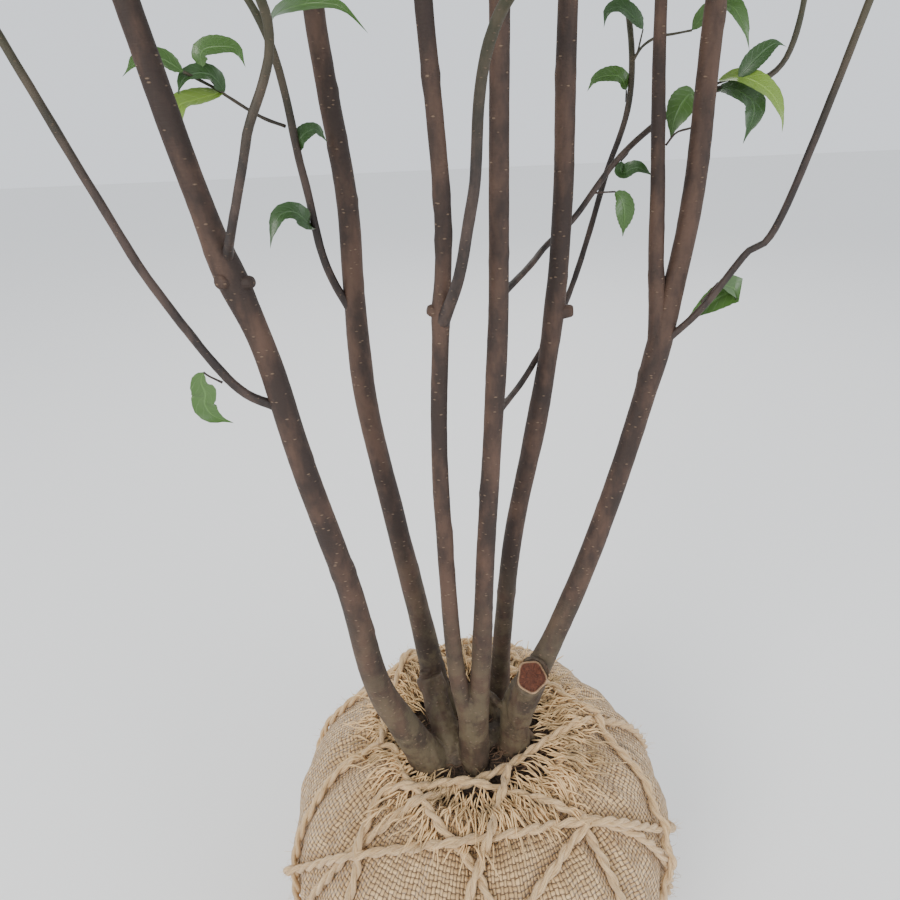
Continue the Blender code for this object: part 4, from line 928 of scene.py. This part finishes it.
def leaf_finish(name, upper, under, veined):
    """Waxy, with a paler colour on the underside; the shown leaves have a pale midrib and side veins."""
    finish, tree, shader = new_finish(name + ("_shown" if veined else "") + "_finish", 0.36)
    face = upper
    if veined:
        lines = vein_lines(tree)
        face = covered(tree, upper, tuple(c * 1.8 + 0.02 for c in upper), lines, 0.55)
        raise_surface(tree, shader, inverse(tree, lines), 0.0006, 0.6)
    back = tree.nodes.new("ShaderNodeNewGeometry").outputs["Backfacing"]
    tree.links.new(mixed(tree, back, face, under), shader.inputs["Base Color"])
    shader.inputs["Coat Weight"].default_value = 0.22
    shader.inputs["Coat Roughness"].default_value = 0.25
    return finish


def floor_finish():
    """Plain pale floor."""
    finish, _, shader = new_finish("floor_finish", 0.9)
    shader.inputs["Base Color"].default_value = (*FLOOR, 1.0)
    return finish


def burlap_outline():
    """Even steps along the ball's profile: (height, radius, distance travelled)."""
    knots = [Vector((radius, 0.0, height)) for height, radius in BALL_PROFILE]
    points = spline(knots, BALL_STEP)
    travelled, rows = 0.0, []
    for i, point in enumerate(points):
        travelled += (point - points[i - 1]).length if i else 0.0
        rows.append((max(0.0, point.z), point.x, travelled))
    return rows


def cloth_creases(azimuth, height):
    """Gathers that run down from the bunched rim, and slack folds on the sides."""
    gather = max(0.0, min(1.0, (height - 0.20) / 0.12))
    belly = math.sin(math.pi * min(1.0, height / 0.33))
    turn = level(azimuth)
    pleats = noise.noise(turn * 7.0 + Vector((0, 0, height * 3.0))) * 0.0075 * gather
    small = noise.noise(turn * 19.0 + Vector((4.0, 0, height * 9.0))) * 0.0035 * gather
    slack = noise.noise(turn * 3.4 + Vector((9.0, 0, height * 8.0))) * 0.0050 * belly
    lumps = noise.noise(turn * 12.0 + Vector((2.0, 5.0, height * 55.0))) * 0.0016
    return pleats + small + slack + lumps


def burlap_points():
    """Rows of points of the wrapped ball before the ropes press into it."""
    rows = burlap_outline()
    grid = []
    for height, radius, _ in rows:
        ring = []
        for k in range(BALL_SIDES):
            azimuth = math.tau * k / BALL_SIDES
            place = ball_point(azimuth, height, radius)
            crease = cloth_creases(azimuth, height)
            if height > 0.30:
                place += UP * crease * 0.8 * min(1.0, (height - 0.30) / 0.03)
            place += level(azimuth) * crease * (1.0 if height < 0.33 else 0.35)
            place.z = max(0.0, place.z)
            ring.append(place)
        grid.append(ring)
    return rows, grid


def grid_tree(grid):
    """The cloth as a surface to cast rays at, closed over its opening, and its faces."""
    verts = [place for ring in grid for place in ring]
    faces = band_faces(len(grid), BALL_SIDES)
    faces.append(tuple(range(len(verts) - BALL_SIDES, len(verts))))
    return BVHTree.FromPolygons(verts, faces), faces


def rope_line(route, cloth):
    """The rope's middle line, laid taut over the burlap along the route's directions."""
    aims = []
    for azimuth, polar in route:
        a, p = math.radians(azimuth), math.radians(polar)
        aims.append(Vector((math.sin(p) * math.cos(a), math.sin(p) * math.sin(a), math.cos(p))) * 0.2)
    outwards = [aim.normalized() for aim in spline(aims, ROPE_FINE_STEP)]
    distances = []
    for outward in outwards:
        hit, _, _, _ = cloth.ray_cast(BALL_MIDDLE, outward)
        distances.append((hit - BALL_MIDDLE).length + ROPE_CLEARANCE)
    for _ in range(ROPE_BRIDGING):
        neighbours = zip([distances[0]] + distances[:-1], distances, distances[1:] + [distances[-1]])
        distances = [max(here, (before + after) / 2) for before, here, after in neighbours]
    return [BALL_MIDDLE + outward * reach for outward, reach in zip(outwards, distances)]


def climbed(place, laid):
    """The place, raised where an earlier rope lies under it."""
    _, _, distance = laid.find(place)
    climb = max(0.0, 1.0 - distance / CROSSING_REACH)
    over = CROSSING_LIFT * climb * climb * (3 - 2 * climb)
    return place + (place - BALL_MIDDLE).normalized() * over


def rope_lines(cloth):
    """All ropes; one that crosses an earlier rope climbs over it."""
    lines = []
    for route in ROPES.values():
        line = rope_line(route, cloth)
        if lines:
            laid = nearest([place for other in lines for place in other])
            line = [climbed(place, laid) for place in line]
        lines.append(line)
    return lines


def strand_line(line, along, start_angle):
    """One strand's middle line, twisted round the rope's."""
    points, travelled = [], 0.0
    for i, place in enumerate(line):
        travelled += (place - line[i - 1]).length if i else 0.0
        outward = (place - BALL_MIDDLE).normalized()
        side = along[i].cross(outward).normalized()
        angle = math.tau * travelled / ROPE_PITCH + start_angle
        points.append(place + (outward * math.sin(angle) + side * math.cos(angle)) * STRAND_OFFSET)
    return points


def make_ropes(lines, finish):
    """Each rope is twisted from strands, each strand a tube of fibres."""
    pile = Pile()
    for number, line in enumerate(lines):
        along = tangents(line)
        for strand in range(ROPE_STRANDS):
            points = strand_line(line, along, math.tau * strand / ROPE_STRANDS + number)
            radii = [STRAND_RADIUS * (1 + 0.10 * rough(p, 230)) for p in points]
            add_tube(pile, points, radii, ROPE_STRAND_SIDES)
    piece = pile.piece("jute_ropes", finish, "rope")
    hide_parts("lashing")


def make_rope_fuzz(lines, finish):
    """Short stray fibres that stand off the ropes."""
    rng = random.Random(31)
    pile = Pile()
    for line in lines:
        for place in line[::2]:
            outward = (place - BALL_MIDDLE).normalized()
            lean = Vector((rng.uniform(-1, 1), rng.uniform(-1, 1), rng.uniform(-1, 1))) * 0.9
            start = place + (outward + lean * 0.6).normalized() * ROPE_DIAMETER * 0.42
            end = start + (outward * 0.7 + lean).normalized() * rng.uniform(*FUZZ_LENGTH)
            bend = start.lerp(end, 0.5) + outward * 0.0012
            add_tube(pile, [start, bend, end], FUZZ_RADII, 3)
    pile.piece("jute_fuzz", finish, "rope")


def make_burlap(rows, grid, faces, lines, finish):
    """The wrapped ball, pressed in under the ropes, swelling beside them and flat where it stands."""
    laid = nearest([place for line in lines for place in line])
    verts, places = [], []
    for (_, _, travelled), ring in zip(rows, grid):
        for k, place in enumerate(ring):
            _, _, distance = laid.find(place)
            press = ROPE_PRESS * math.exp(-(distance / ROPE_PRESS_REACH) ** 2)
            swell = BESIDE_SWELL * math.exp(-((distance - BESIDE_DISTANCE) / BESIDE_REACH) ** 2)
            stands = place.z < 0.004
            outward = (place - BALL_MIDDLE).normalized()
            verts.append(place.copy() if stands else place + outward * (swell - press))
            places.append((CLOTH_GIRTH * k / BALL_SIDES, travelled))
    pile = Pile()
    underside = tuple(reversed(range(BALL_SIDES)))
    pile.add(verts, faces[:-1] + [underside], places)
    piece = pile.piece("burlap_wrap", finish, "burlap")
    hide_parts("root_ball")


def make_soil(finish):
    """Crumbly soil in the opening, a little higher toward its rim."""
    verts, places = [Vector((0.0, 0.0, SOIL_LEVEL - 0.003))], [(0.0, 0.0)]
    for i in range(1, SOIL_RINGS + 1):
        reach = SOIL_RADIUS * i / SOIL_RINGS
        rim = 0.004 * max(0.0, (reach - 0.07) / 0.03)
        for k in range(SOIL_SIDES):
            place = level(math.tau * k / SOIL_SIDES) * reach
            crumbs = rough(place, 75) * 0.0042 + rough(place, 210) * 0.0026 + rough(place, 520) * 0.0012
            verts.append(place + UP * (SOIL_LEVEL - 0.004 + crumbs + rim))
            places.append((place.x, place.y))
    pile = Pile()
    pile.add(verts, disc_faces(SOIL_RINGS, SOIL_SIDES), places)
    pile.piece("soil", finish, "burlap")


def make_hair_roots(finish):
    """Fine roots that curl over the soil."""
    rng = random.Random(7)
    pile = Pile()
    for _ in range(HAIR_ROOTS):
        azimuth, reach = rng.uniform(0, math.tau), rng.uniform(*HAIR_ROOT_BAND)
        place = level(azimuth) * reach + UP * (SOIL_LEVEL + 0.001)
        heading = rng.uniform(0, math.tau)
        points = []
        for _ in range(HAIR_ROOT_POINTS):
            points.append(place.copy())
            heading += rng.uniform(-0.9, 0.9)
            place = place + (level(heading) + UP * rng.uniform(-0.25, 0.3)) * HAIR_ROOT_STEP
            place.z = max(place.z, SOIL_LEVEL - 0.001)
        add_tube(pile, points, taper(*HAIR_ROOT_RADII, HAIR_ROOT_POINTS), 4)
    pile.piece("hair_roots", finish, "rope")


def make_frayed_edge(cloth, finish):
    """Loose straw-like threads where the burlap's cut edge rings the opening."""
    rng = random.Random(12)
    pile = Pile()
    last = len(FRAYED_RADII) - 1
    for _ in range(FRAYED_THREADS):
        azimuth = rng.uniform(0, math.tau)
        outward = level(azimuth)
        hit, _, _, _ = cloth.ray_cast(outward * rng.uniform(*FRAYED_BAND) + UP * 0.5, -UP)
        if not hit:
            continue
        side = level(azimuth + math.pi / 2) * rng.uniform(-0.6, 0.6)
        length = rng.uniform(*FRAYED_LENGTH)
        heading = (side - outward * rng.choice((-1.0, 1.0, 1.0))).normalized()
        points = [hit - UP * 0.001]
        for i in range(1, last + 1):
            lift = 0.006 * math.sin(math.pi * i / (last + 1.5)) * rng.uniform(0.3, 1.2)
            place = points[0] + heading * length * i / last
            under, _, _, _ = cloth.ray_cast(place + UP * 0.1, -UP)
            ground = max(SOIL_LEVEL, under.z) if under else place.z
            points.append(Vector((place.x, place.y, ground + 0.001 + lift)))
        add_tube(pile, points, FRAYED_RADII, 4)
    pile.piece("frayed_edge", finish, "burlap")


def add_root_limbs(pile, fine):
    """The stems' feet, the webs between them, the sawn limb and the roots that spread over the soil."""
    for name, stem in STEMS.items():
        collar = stem["collar"]
        low = [(p, r) for p, r in zip(*fine[name]) if p.z <= collar + 0.012]
        line = [low[0][0] - UP * 0.012] + [p for p, _ in low]
        radii = [low[0][1]] + [r * (1.06 - 0.13 * (p.z - SOIL_LEVEL) / (collar - SOIL_LEVEL)) for p, r in low]
        add_tube(pile, line, radii, 16)
    for start, end, start_diameter, end_diameter in (CUT_STUB, BARK_WEB, FOOT_WEB, REAR_WEB, ROOT_LINK):
        line = spline((start, end), ROOT_LIMB_STEP)
        add_tube(pile, line, taper(start_diameter / 2, end_diameter / 2, len(line)), 14)
    cut_start, cut_end, cut_low, cut_high = SAWN_LIMB
    past_cut = (Vector(cut_end) - Vector(cut_start)).normalized() * PAST_SAW_CUT
    line = spline((cut_start, SAW_CUT_PLACE + past_cut), ROOT_LIMB_STEP)
    add_tube(pile, line, taper(cut_low / 2, cut_high / 2, len(line)), 16)
    for x, y, azimuth, length, diameter in SURFACE_ROOTS:
        out = level(math.radians(azimuth))
        foot = Vector((x, y, SOIL_LEVEL))
        bend, tip = foot + out * length * 0.6 + UP * 0.006, foot + out * length - UP * 0.006
        line = spline((foot + UP * 0.026, bend, tip), 0.004)
        add_tube(pile, line, taper(diameter / 2, diameter / 2 * 0.55, len(line)), 12)


def melt(piece):
    """Joins a piece's tubes into one softened surface."""
    remesh = piece.modifiers.new("melt", "REMESH")
    remesh.mode = "VOXEL"
    remesh.voxel_size = MELT_VOXEL
    soften = piece.modifiers.new("soften", "SMOOTH")
    soften.iterations = MELT_SMOOTHING
    graph = bpy.context.evaluated_depsgraph_get()
    mesh = bpy.data.meshes.new_from_object(piece.evaluated_get(graph))
    piece.modifiers.clear()
    piece.data = mesh
    return mesh


def make_root_crown(fine, finish):
    """Joined feet of the stems, webs of bark and the sawn limb, melted into one knotty form."""
    pile = Pile()
    add_root_limbs(pile, fine)
    piece = pile.piece("root_crown_bark", finish, "bark")
    mesh = melt(piece)
    # All normals are copied before the first point moves, or each move would work all of them out again.
    normals = [vert.normal.copy() for vert in mesh.vertices]
    for vert, normal in zip(mesh.vertices, normals):
        off = vert.co - SAW_CUT_PLACE
        beyond = off.dot(SAW_CUT_FACING)
        aside = (off - SAW_CUT_FACING * beyond).length
        if beyond > -0.001 and off.length < 0.035 and aside < SAW_CUT_RADIUS * 1.12:
            vert.co -= SAW_CUT_FACING * max(0.0, beyond)
            continue
        fade = max(0.0, min(1.0, (0.50 - vert.co.z) / 0.05))
        knots = rough(vert.co, 70, 40) * 0.0016 + rough(vert.co, 200, 60) * 0.0010
        vert.co += normal * (knots * fade + bark_relief(vert.co) * 0.8)
    mesh.shade_smooth()
    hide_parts("root_crown")


def make_saw_cut(finish):
    """The weathered face of the sawn limb, a little proud of its bark, with an uneven outline."""
    turn = SAW_CUT_FACING.to_track_quat("Z", "Y").to_matrix()
    verts, places = [SAW_CUT_PLACE + SAW_CUT_FACING * SAW_CUT_PROUD], [(0.0, 0.0)]
    for i in range(1, SAW_CUT_RINGS + 1):
        share = i / SAW_CUT_RINGS
        rim = 0.0012 * math.exp(-((share - 0.9) / 0.09) ** 2) - 0.004 * max(0.0, share - 0.93) / 0.07
        for k in range(SAW_CUT_SIDES):
            angle = math.tau * k / SAW_CUT_SIDES
            corner = 1 + 0.055 * math.cos(5 * angle + 0.6) + 0.03 * math.cos(3 * angle)
            reach = SAW_CUT_RADIUS * share * corner
            height = SAW_CUT_PROUD + 0.0010 * math.sin(angle * 4 + 1) * share * (1 - share) + rim
            flat = Vector((reach * math.cos(angle), reach * 1.08 * math.sin(angle), height))
            verts.append(SAW_CUT_PLACE + turn @ flat)
            places.append((angle, share))
    pile = Pile()
    pile.add(verts, disc_faces(SAW_CUT_RINGS, SAW_CUT_SIDES), places)
    pile.piece("saw_cut_face", finish, "bark")


def fork_knots(spaces, stem_points):
    """The second leader's named places, then a rise that turns toward its foliage mass."""
    root, _ = point_at_height(stem_points, FORK["height"])
    knots = [root] + [Vector(place) for place in FORK["places"]]
    start = knots[-1]
    tip = entry_of(spaces[FORK["mass"]], start)
    lean = (start - knots[-2]) / (start.z - knots[-2].z)
    for t in (0.35, 0.7):
        height = start.z + (tip.z - start.z) * t
        carried = start + lean * (height - start.z)
        knots.append(carried.lerp(start.lerp(tip, t), t))
    return knots + [tip]


def fork_radius(height, root_height, tip_height):
    """Taper of the second leader."""
    low, high = FORK["girth"]
    if height < LEVELS[-1]:
        return (low + (high - low) * (height - root_height) / (LEVELS[-1] - root_height)) / 2
    return (high + (LEADER_TIP_GIRTH * 0.85 - high) * (height - LEVELS[-1]) / (tip_height - LEVELS[-1])) / 2


def bough_knots(root, places, space):
    """A bough's root, the places it passes and its mass's entry."""
    knots = [root] + [Vector(place) for place in places]
    tip = entry_of(space, knots[-1])
    if len(knots) == 1:
        out = tip - root
        knots.append(root + Vector((out.x * 0.42, out.y * 0.42, out.z * 0.30)))
    return knots + [tip]


def limb_lines(spaces):
    """For each limb: the coarse line that the growth rule reads, and the fine line and radii that show."""
    coarse, fine = {}, {}
    for name in STEMS:
        knots = stem_knots(name, spaces)
        coarse[name] = spline(knots, STEM_STEP)
        points = spline(knots, FINE_STEP)
        fine[name] = (points, [stem_radius(name, p.z, knots[-1].z) for p in points])
    knots = fork_knots(spaces, coarse[FORK["stem"]])
    coarse["stem_right_fork"] = spline(knots, STEM_STEP)
    points = spline(knots, FINE_STEP)
    fine["stem_right_fork"] = (points, [fork_radius(p.z, knots[0].z, knots[-1].z) for p in points])
    for name, bough in BOUGHS.items():
        root, _ = point_at_height(coarse[bough["stem"]], bough["height"])
        knots = bough_knots(root, bough["places"], spaces[name.replace("bough", "foliage")])
        coarse[name] = spline(knots, BOUGH_STEP)
        points = spline(knots, FINE_STEP)
        radii = taper(bough["girth"] / 2, BOUGH_TIP_GIRTH / 2, len(points))
        for i in range(len(radii)):
            radii[i] *= 1 + COLLAR_WIDENING * math.exp(-i * FINE_STEP / COLLAR_REACH)
        fine[name] = (points, radii)
    return coarse, fine


def make_stems(fine, finish):
    """The stems, each one piece with its snags."""
    for name, (points, radii) in fine.items():
        if not name.startswith("stem"):
            continue
        pile = Pile()
        add_tube(pile, points, radii, STEM_SIDES, bark_relief)
        for height, direction, length, diameter in SNAGS.get(name, ()):
            root, _ = point_at_height(points, height)
            out = Vector(direction).normalized()
            reach = stem_radius(name, height, points[-1].z) + length
            line = spline((root, root + out * reach * 0.6, root + out * reach), 0.0015)
            snag_radii = taper(diameter / 2 * 1.7, diameter / 2, len(line))
            snag_radii[-1] *= 0.82
            add_tube(pile, line, snag_radii, 12, fine_relief)
        piece = pile.piece(name + "_bark", finish, "bark")
        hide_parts(name)


def make_boughs(fine, finish):
    """The boughs, each one piece."""
    for name, (points, radii) in fine.items():
        if name.startswith("bough"):
            pile = Pile()
            add_tube(pile, points, radii, BOUGH_SIDES, fine_relief)
            piece = pile.piece(name + "_bark", finish, "young_bark")
            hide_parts(name)


def add_blade(pile, line, width, facing, outline, fold=CROWN_FOLD, teeth=0.0):
    """A leaf along its middle line: two halves folded up from the midrib, in the given outline."""
    along = tangents(line)
    last = len(line) - 1
    verts, places, rows = [], [], []
    for i, (place, (share, half)) in enumerate(zip(line, outline)):
        if i in (0, last):
            rows.append((len(verts),))
            verts.append(place)
            places.append((0.5, share))
            continue
        across = along[i].cross(facing)
        across = across.normalized() if across.length > 0.1 else along[i].orthogonal().normalized()
        up = across.cross(along[i]).normalized()
        reach = width / 2 * half * (1 + (teeth if i % 2 else -teeth))
        raised = up * reach * fold
        rows.append((len(verts), len(verts) + 1, len(verts) + 2))
        verts.extend((place - across * reach + raised, place, place + across * reach + raised))
        places.extend(((0.0, share), (0.5, share), (1.0, share)))
    faces = []
    for low, high in zip(rows, rows[1:]):
        if len(low) == 1:
            faces.extend(((low[0], high[1], high[0]), (low[0], high[2], high[1])))
        elif len(high) == 1:
            faces.extend(((low[0], low[1], high[0]), (low[1], low[2], high[0])))
        else:
            faces.extend(((low[0], low[1], high[1], high[0]), (low[1], low[2], high[2], high[1])))
    pile.add(verts, faces, places)


def above_view(place):
    """Whether a place is above what the camera sees, so that the crown stays out of its view."""
    edge = CAMERA_PITCH - math.atan(SENSOR_WIDTH / 2 / CAMERA_LENS)
    ahead = max(0.05, place.y - CAMERA_PLACE.y)
    lean = abs(place.x - CAMERA_PLACE.x) * math.tan(CAMERA_ROLL)
    return place.z > CAMERA_PLACE.z - ahead * math.tan(edge) + lean + CROWN_CLEAR_OF_VIEW


def grow_shoot(root, heading, length, space, rng, twigs, leaves):
    """A thin shoot that lifts toward the light, with alternate drooping leaves and a tuft at its tip."""
    lift = UP * (SHOOT_LIFT * length)
    points = [root, root + heading * length * 0.5 + lift * 0.3, root + heading * length + lift]
    if depth_in(space, points[-1]) > 1.0 or not above_view(points[-1]):
        return
    add_tube(twigs, points, SHOOT_RADII, CROWN_TWIG_SIDES)
    sideways = heading.cross(UP)
    sideways = sideways.normalized() if sideways.length > 0.1 else Vector((1.0, 0.0, 0.0))
    for i in range(LEAVES_ON_SHOOT):
        share = 0.28 + 0.72 * i / (LEAVES_ON_SHOOT - 1)
        base = points[0].lerp(points[2], share)
        side = sideways * (1 if i % 2 else -1) * rng.uniform(0.4, 1.0) * (1.15 - share * 0.7)
        way = (heading * rng.uniform(0.5, 0.9) + side + UP * rng.uniform(-0.25, 0.25)).normalized()
        size = rng.uniform(*REAL_LEAF_LENGTH)
        droop = -UP * (rng.uniform(0.12, 0.42) * size)
        line = [base + way * size * s + droop * s * s + way * PETIOLE_LENGTH for s, _ in CROWN_OUTLINE]
        if depth_in(space, line[-1]) > 1.04 or not above_view(line[-1]):
            continue
        outward = Vector((base.x, base.y, 0.0))
        outward = outward.normalized() if outward.length > 0.02 else Vector((0.0, -1.0, 0.0))
        facing = outward * rng.uniform(0.0, 0.8) + UP
        facing += Vector((rng.uniform(-0.4, 0.4), rng.uniform(-0.4, 0.4), 0))
        add_tube(twigs, [base, line[0]], [PETIOLE_RADIUS, PETIOLE_RADIUS], 3)
        add_blade(leaves, line, size * LEAF_SLENDERNESS, facing.normalized(), CROWN_OUTLINE)


def pick_tone(rng):
    """A leaf tone, drawn by the shares of the tones."""
    draw = rng.random()
    for name, (_, _, share) in LEAF_TONES.items():
        if draw < share:
            return name
        draw -= share
    return "leaf_deep"


def crown_carriers():
    """Which limb carries each foliage mass."""
    carriers = {stem["mass"]: name for name, stem in STEMS.items()}
    carriers[FORK["mass"]] = "stem_right_fork"
    carriers.update({name.replace("bough", "foliage"): name for name in BOUGHS})
    return carriers


def grow_twig(root, tip, space, rng, twigs, leaves):
    """A bowed twig with shoots set round it by the golden angle."""
    along = (tip - root).normalized()
    bowed = root.lerp(tip, 0.55) - UP * (0.03 * (tip - root).length)
    line = spline((root, bowed, tip), FINE_TWIG_STEP)
    last = len(line) - 1
    add_tube(twigs, line, taper(*FINE_TWIG_RADII, len(line)), 5)
    side = along.orthogonal().normalized()
    for i in range(SHOOTS_ON_TWIG):
        share = 0.22 + 0.78 * i / (SHOOTS_ON_TWIG - 1)
        base = line[min(last, round(share * last))]
        side = Matrix.Rotation(GOLDEN_ANGLE, 3, along) @ side
        spread = math.radians(rng.uniform(32, 68)) * (1.1 - 0.55 * share)
        heading = (along * math.cos(spread) + side * math.sin(spread)).normalized()
        length = rng.uniform(*SHOOT_LENGTH) * (1.1 - 0.3 * share)
        grow_shoot(base, heading, length, space, rng, twigs, leaves[pick_tone(rng)])


def grow_crown(spaces, coarse, twigs, leaves):
    """Each mass: its stem and side twigs by the source's rule, then shoots and leaves of real size."""
    carriers = crown_carriers()
    for seed, (name, space) in enumerate(spaces.items(), 1):
        rng, fine_rng = random.Random(seed), random.Random(seed + FINE_SEED)
        carrier = coarse[carriers[name]]
        direction = (carrier[-1] - carrier[-2]).normalized()
        stem = mass_stem(space, carrier[-1] + direction * GAP, direction)
        add_tube(twigs, stem, taper(BOUGH_TIP_GIRTH * 1.1 / 2, TWIG_GIRTH * 0.6 / 2, len(stem)), 7)
        leader = (stem[-1], stem[-1] + (stem[-1] - stem[-2]).normalized() * LEADER_SHOOT)
        for root, tip in side_twigs(space, stem, rng) + [(stem[-2], stem[-1]), leader]:
            grow_twig(root, tip, space, fine_rng, twigs, leaves)


def shown_outline(count):
    """Half-widths of a leaf with a rounded base and a long drip tip."""
    rows = []
    for i in range(count):
        share = i / (count - 1)
        body = math.sin(math.pi * min(1.0, share / 0.88) ** 0.82) ** 0.75 if share < 0.88 else 0.0
        tip = 0.13 * (1.0 - share) / 0.12 if share > 0.80 else 0.0
        rows.append((share, max(body, min(0.16, tip))))
    return rows


def make_shown_leaves(finishes):
    """The leaves seen low in the crown, each at its own place."""
    piles = {tone: Pile() for tone in LEAF_TONES}
    outline = shown_outline(SHOWN_ROWS)
    for places, width, tone in SHOWN_LEAVES:
        dense = spline(places, 0.001)
        line = [dense[round(i * (len(dense) - 1) / (SHOWN_ROWS - 1))] for i in range(SHOWN_ROWS)]
        add_blade(piles[tone], line, width, SHOWN_FACING, outline, SHOWN_FOLD, SHOWN_TEETH)
    for tone, pile in piles.items():
        pile.piece(tone + "_shown", finishes[tone + "_shown"], "foliage")


def make_shown_shoots(finish):
    """The thin shoots and petioles that carry the leaves seen low in the crown."""
    pile = Pile()
    for places, diameter in SHOWN_SHOOTS:
        line = spline(places, 0.003)
        add_tube(pile, line, taper(diameter / 2 * 1.15, diameter / 2 * 0.85, len(line)), 8, fine_relief)
    piece = pile.piece("shown_shoots", finish, "young_bark")
    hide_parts(*[f"leaf_spray_{i}" for i in range(1, 7)])


def make_crown(spaces, coarse, finishes, twig_bark):
    """Twigs in one piece and the leaves in a piece for each tone."""
    twigs = Pile()
    leaves = {tone: Pile() for tone in LEAF_TONES}
    grow_crown(spaces, coarse, twigs, leaves)
    piece = twigs.piece("crown_twigs", twig_bark, "foliage")
    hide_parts(*spaces)
    for tone, pile in leaves.items():
        pile.piece("crown_" + tone, finishes[tone], "foliage", smooth=False)


def make_floor():
    """A wide plain floor."""
    mesh = bpy.data.meshes.new("floor")
    corners = [(x * FLOOR_REACH, y * FLOOR_REACH, 0.0) for x, y in ((-1, -1), (1, -1), (1, 1), (-1, 1))]
    mesh.from_pydata(corners, [], [(0, 1, 2, 3)])
    mesh.materials.append(floor_finish())
    floor = bpy.data.objects.new("floor", mesh)
    bpy.context.scene.collection.objects.link(floor)


def add_area_light(name, place, target, size, power, colour):
    """A round soft light aimed at a target."""
    light = bpy.data.lights.new(name, "AREA")
    light.shape = "DISK"
    light.size = size
    light.energy = power
    light.color = colour
    lamp = bpy.data.objects.new(name, light)
    lamp.location = place
    lamp.rotation_euler = (Vector(target) - Vector(place)).to_track_quat("-Z", "Y").to_euler()
    bpy.context.scene.collection.objects.link(lamp)


def make_studio():
    """A pale sky and three soft lights."""
    world = bpy.data.worlds.new("soft_sky")
    world.use_nodes = True
    sky = world.node_tree.nodes["Background"]
    sky.inputs["Color"].default_value = (0.90, 0.94, 1.0, 1.0)
    sky.inputs["Strength"].default_value = 1.2
    bpy.context.scene.world = world
    add_area_light("front_left_light", (-1.7, -2.3, 2.5), (0.0, 0.0, 0.5), 1.6, 80.0, (1.0, 0.97, 0.92))
    add_area_light("front_right_light", (1.9, -1.6, 1.5), (0.0, 0.0, 0.6), 1.4, 22.0, (0.95, 0.97, 1.0))
    add_area_light("back_light", (0.6, 2.6, 2.8), (0.0, 0.0, 1.0), 2.0, 34.0, (1.0, 0.98, 0.95))


def make_camera():
    """The camera, turned by its pitch and then its roll."""
    forward = Vector((0.0, math.cos(CAMERA_PITCH), -math.sin(CAMERA_PITCH)))
    upward = Vector((0.0, math.sin(CAMERA_PITCH), math.cos(CAMERA_PITCH)))
    right = Vector((1.0, 0.0, 0.0))
    turned_right = right * math.cos(CAMERA_ROLL) - upward * math.sin(CAMERA_ROLL)
    turned_up = right * math.sin(CAMERA_ROLL) + upward * math.cos(CAMERA_ROLL)
    data = bpy.data.cameras.new("photo_camera")
    data.lens = CAMERA_LENS
    data.sensor_width = SENSOR_WIDTH
    data.clip_start = 0.01
    camera = bpy.data.objects.new("photo_camera", data)
    turn = Matrix((turned_right, turned_up, -forward)).transposed().to_4x4()
    camera.matrix_world = Matrix.Translation(CAMERA_PLACE) @ turn
    bpy.context.scene.collection.objects.link(camera)
    bpy.context.scene.camera = camera


def main():
    make_camera()
    make_studio()
    make_floor()
    marks, weave, stains = bark_marks_group(), weave_group(), stains_group()
    bark, young = bark_finish(marks), young_bark_finish(marks)
    finishes = {}
    for tone, (upper, under, _) in LEAF_TONES.items():
        finishes[tone] = leaf_finish(tone, upper, under, veined=False)
        finishes[tone + "_shown"] = leaf_finish(tone, upper, under, veined=True)

    rows, grid = burlap_points()
    cloth, faces = grid_tree(grid)
    lines = rope_lines(cloth)
    make_burlap(rows, grid, faces, lines, burlap_finish(weave, stains))
    make_ropes(lines, rope_finish(stains))
    make_rope_fuzz(lines, plain_finish("fuzz_finish", ROPE_PALE, 0.9, stains))
    make_soil(soil_finish(stains))
    make_hair_roots(plain_finish("hair_root_finish", HAIR_ROOT, 0.8, stains))
    make_frayed_edge(cloth, plain_finish("straw_finish", BURLAP_PALE, 0.85, stains))

    spaces = crown_spaces()
    coarse, fine = limb_lines(spaces)
    make_root_crown(fine, bark)
    make_saw_cut(saw_cut_finish())
    make_stems(fine, bark)
    make_boughs(fine, young)
    make_crown(spaces, coarse, finishes, twig_finish())
    make_shown_leaves(finishes)
    make_shown_shoots(young)


main()
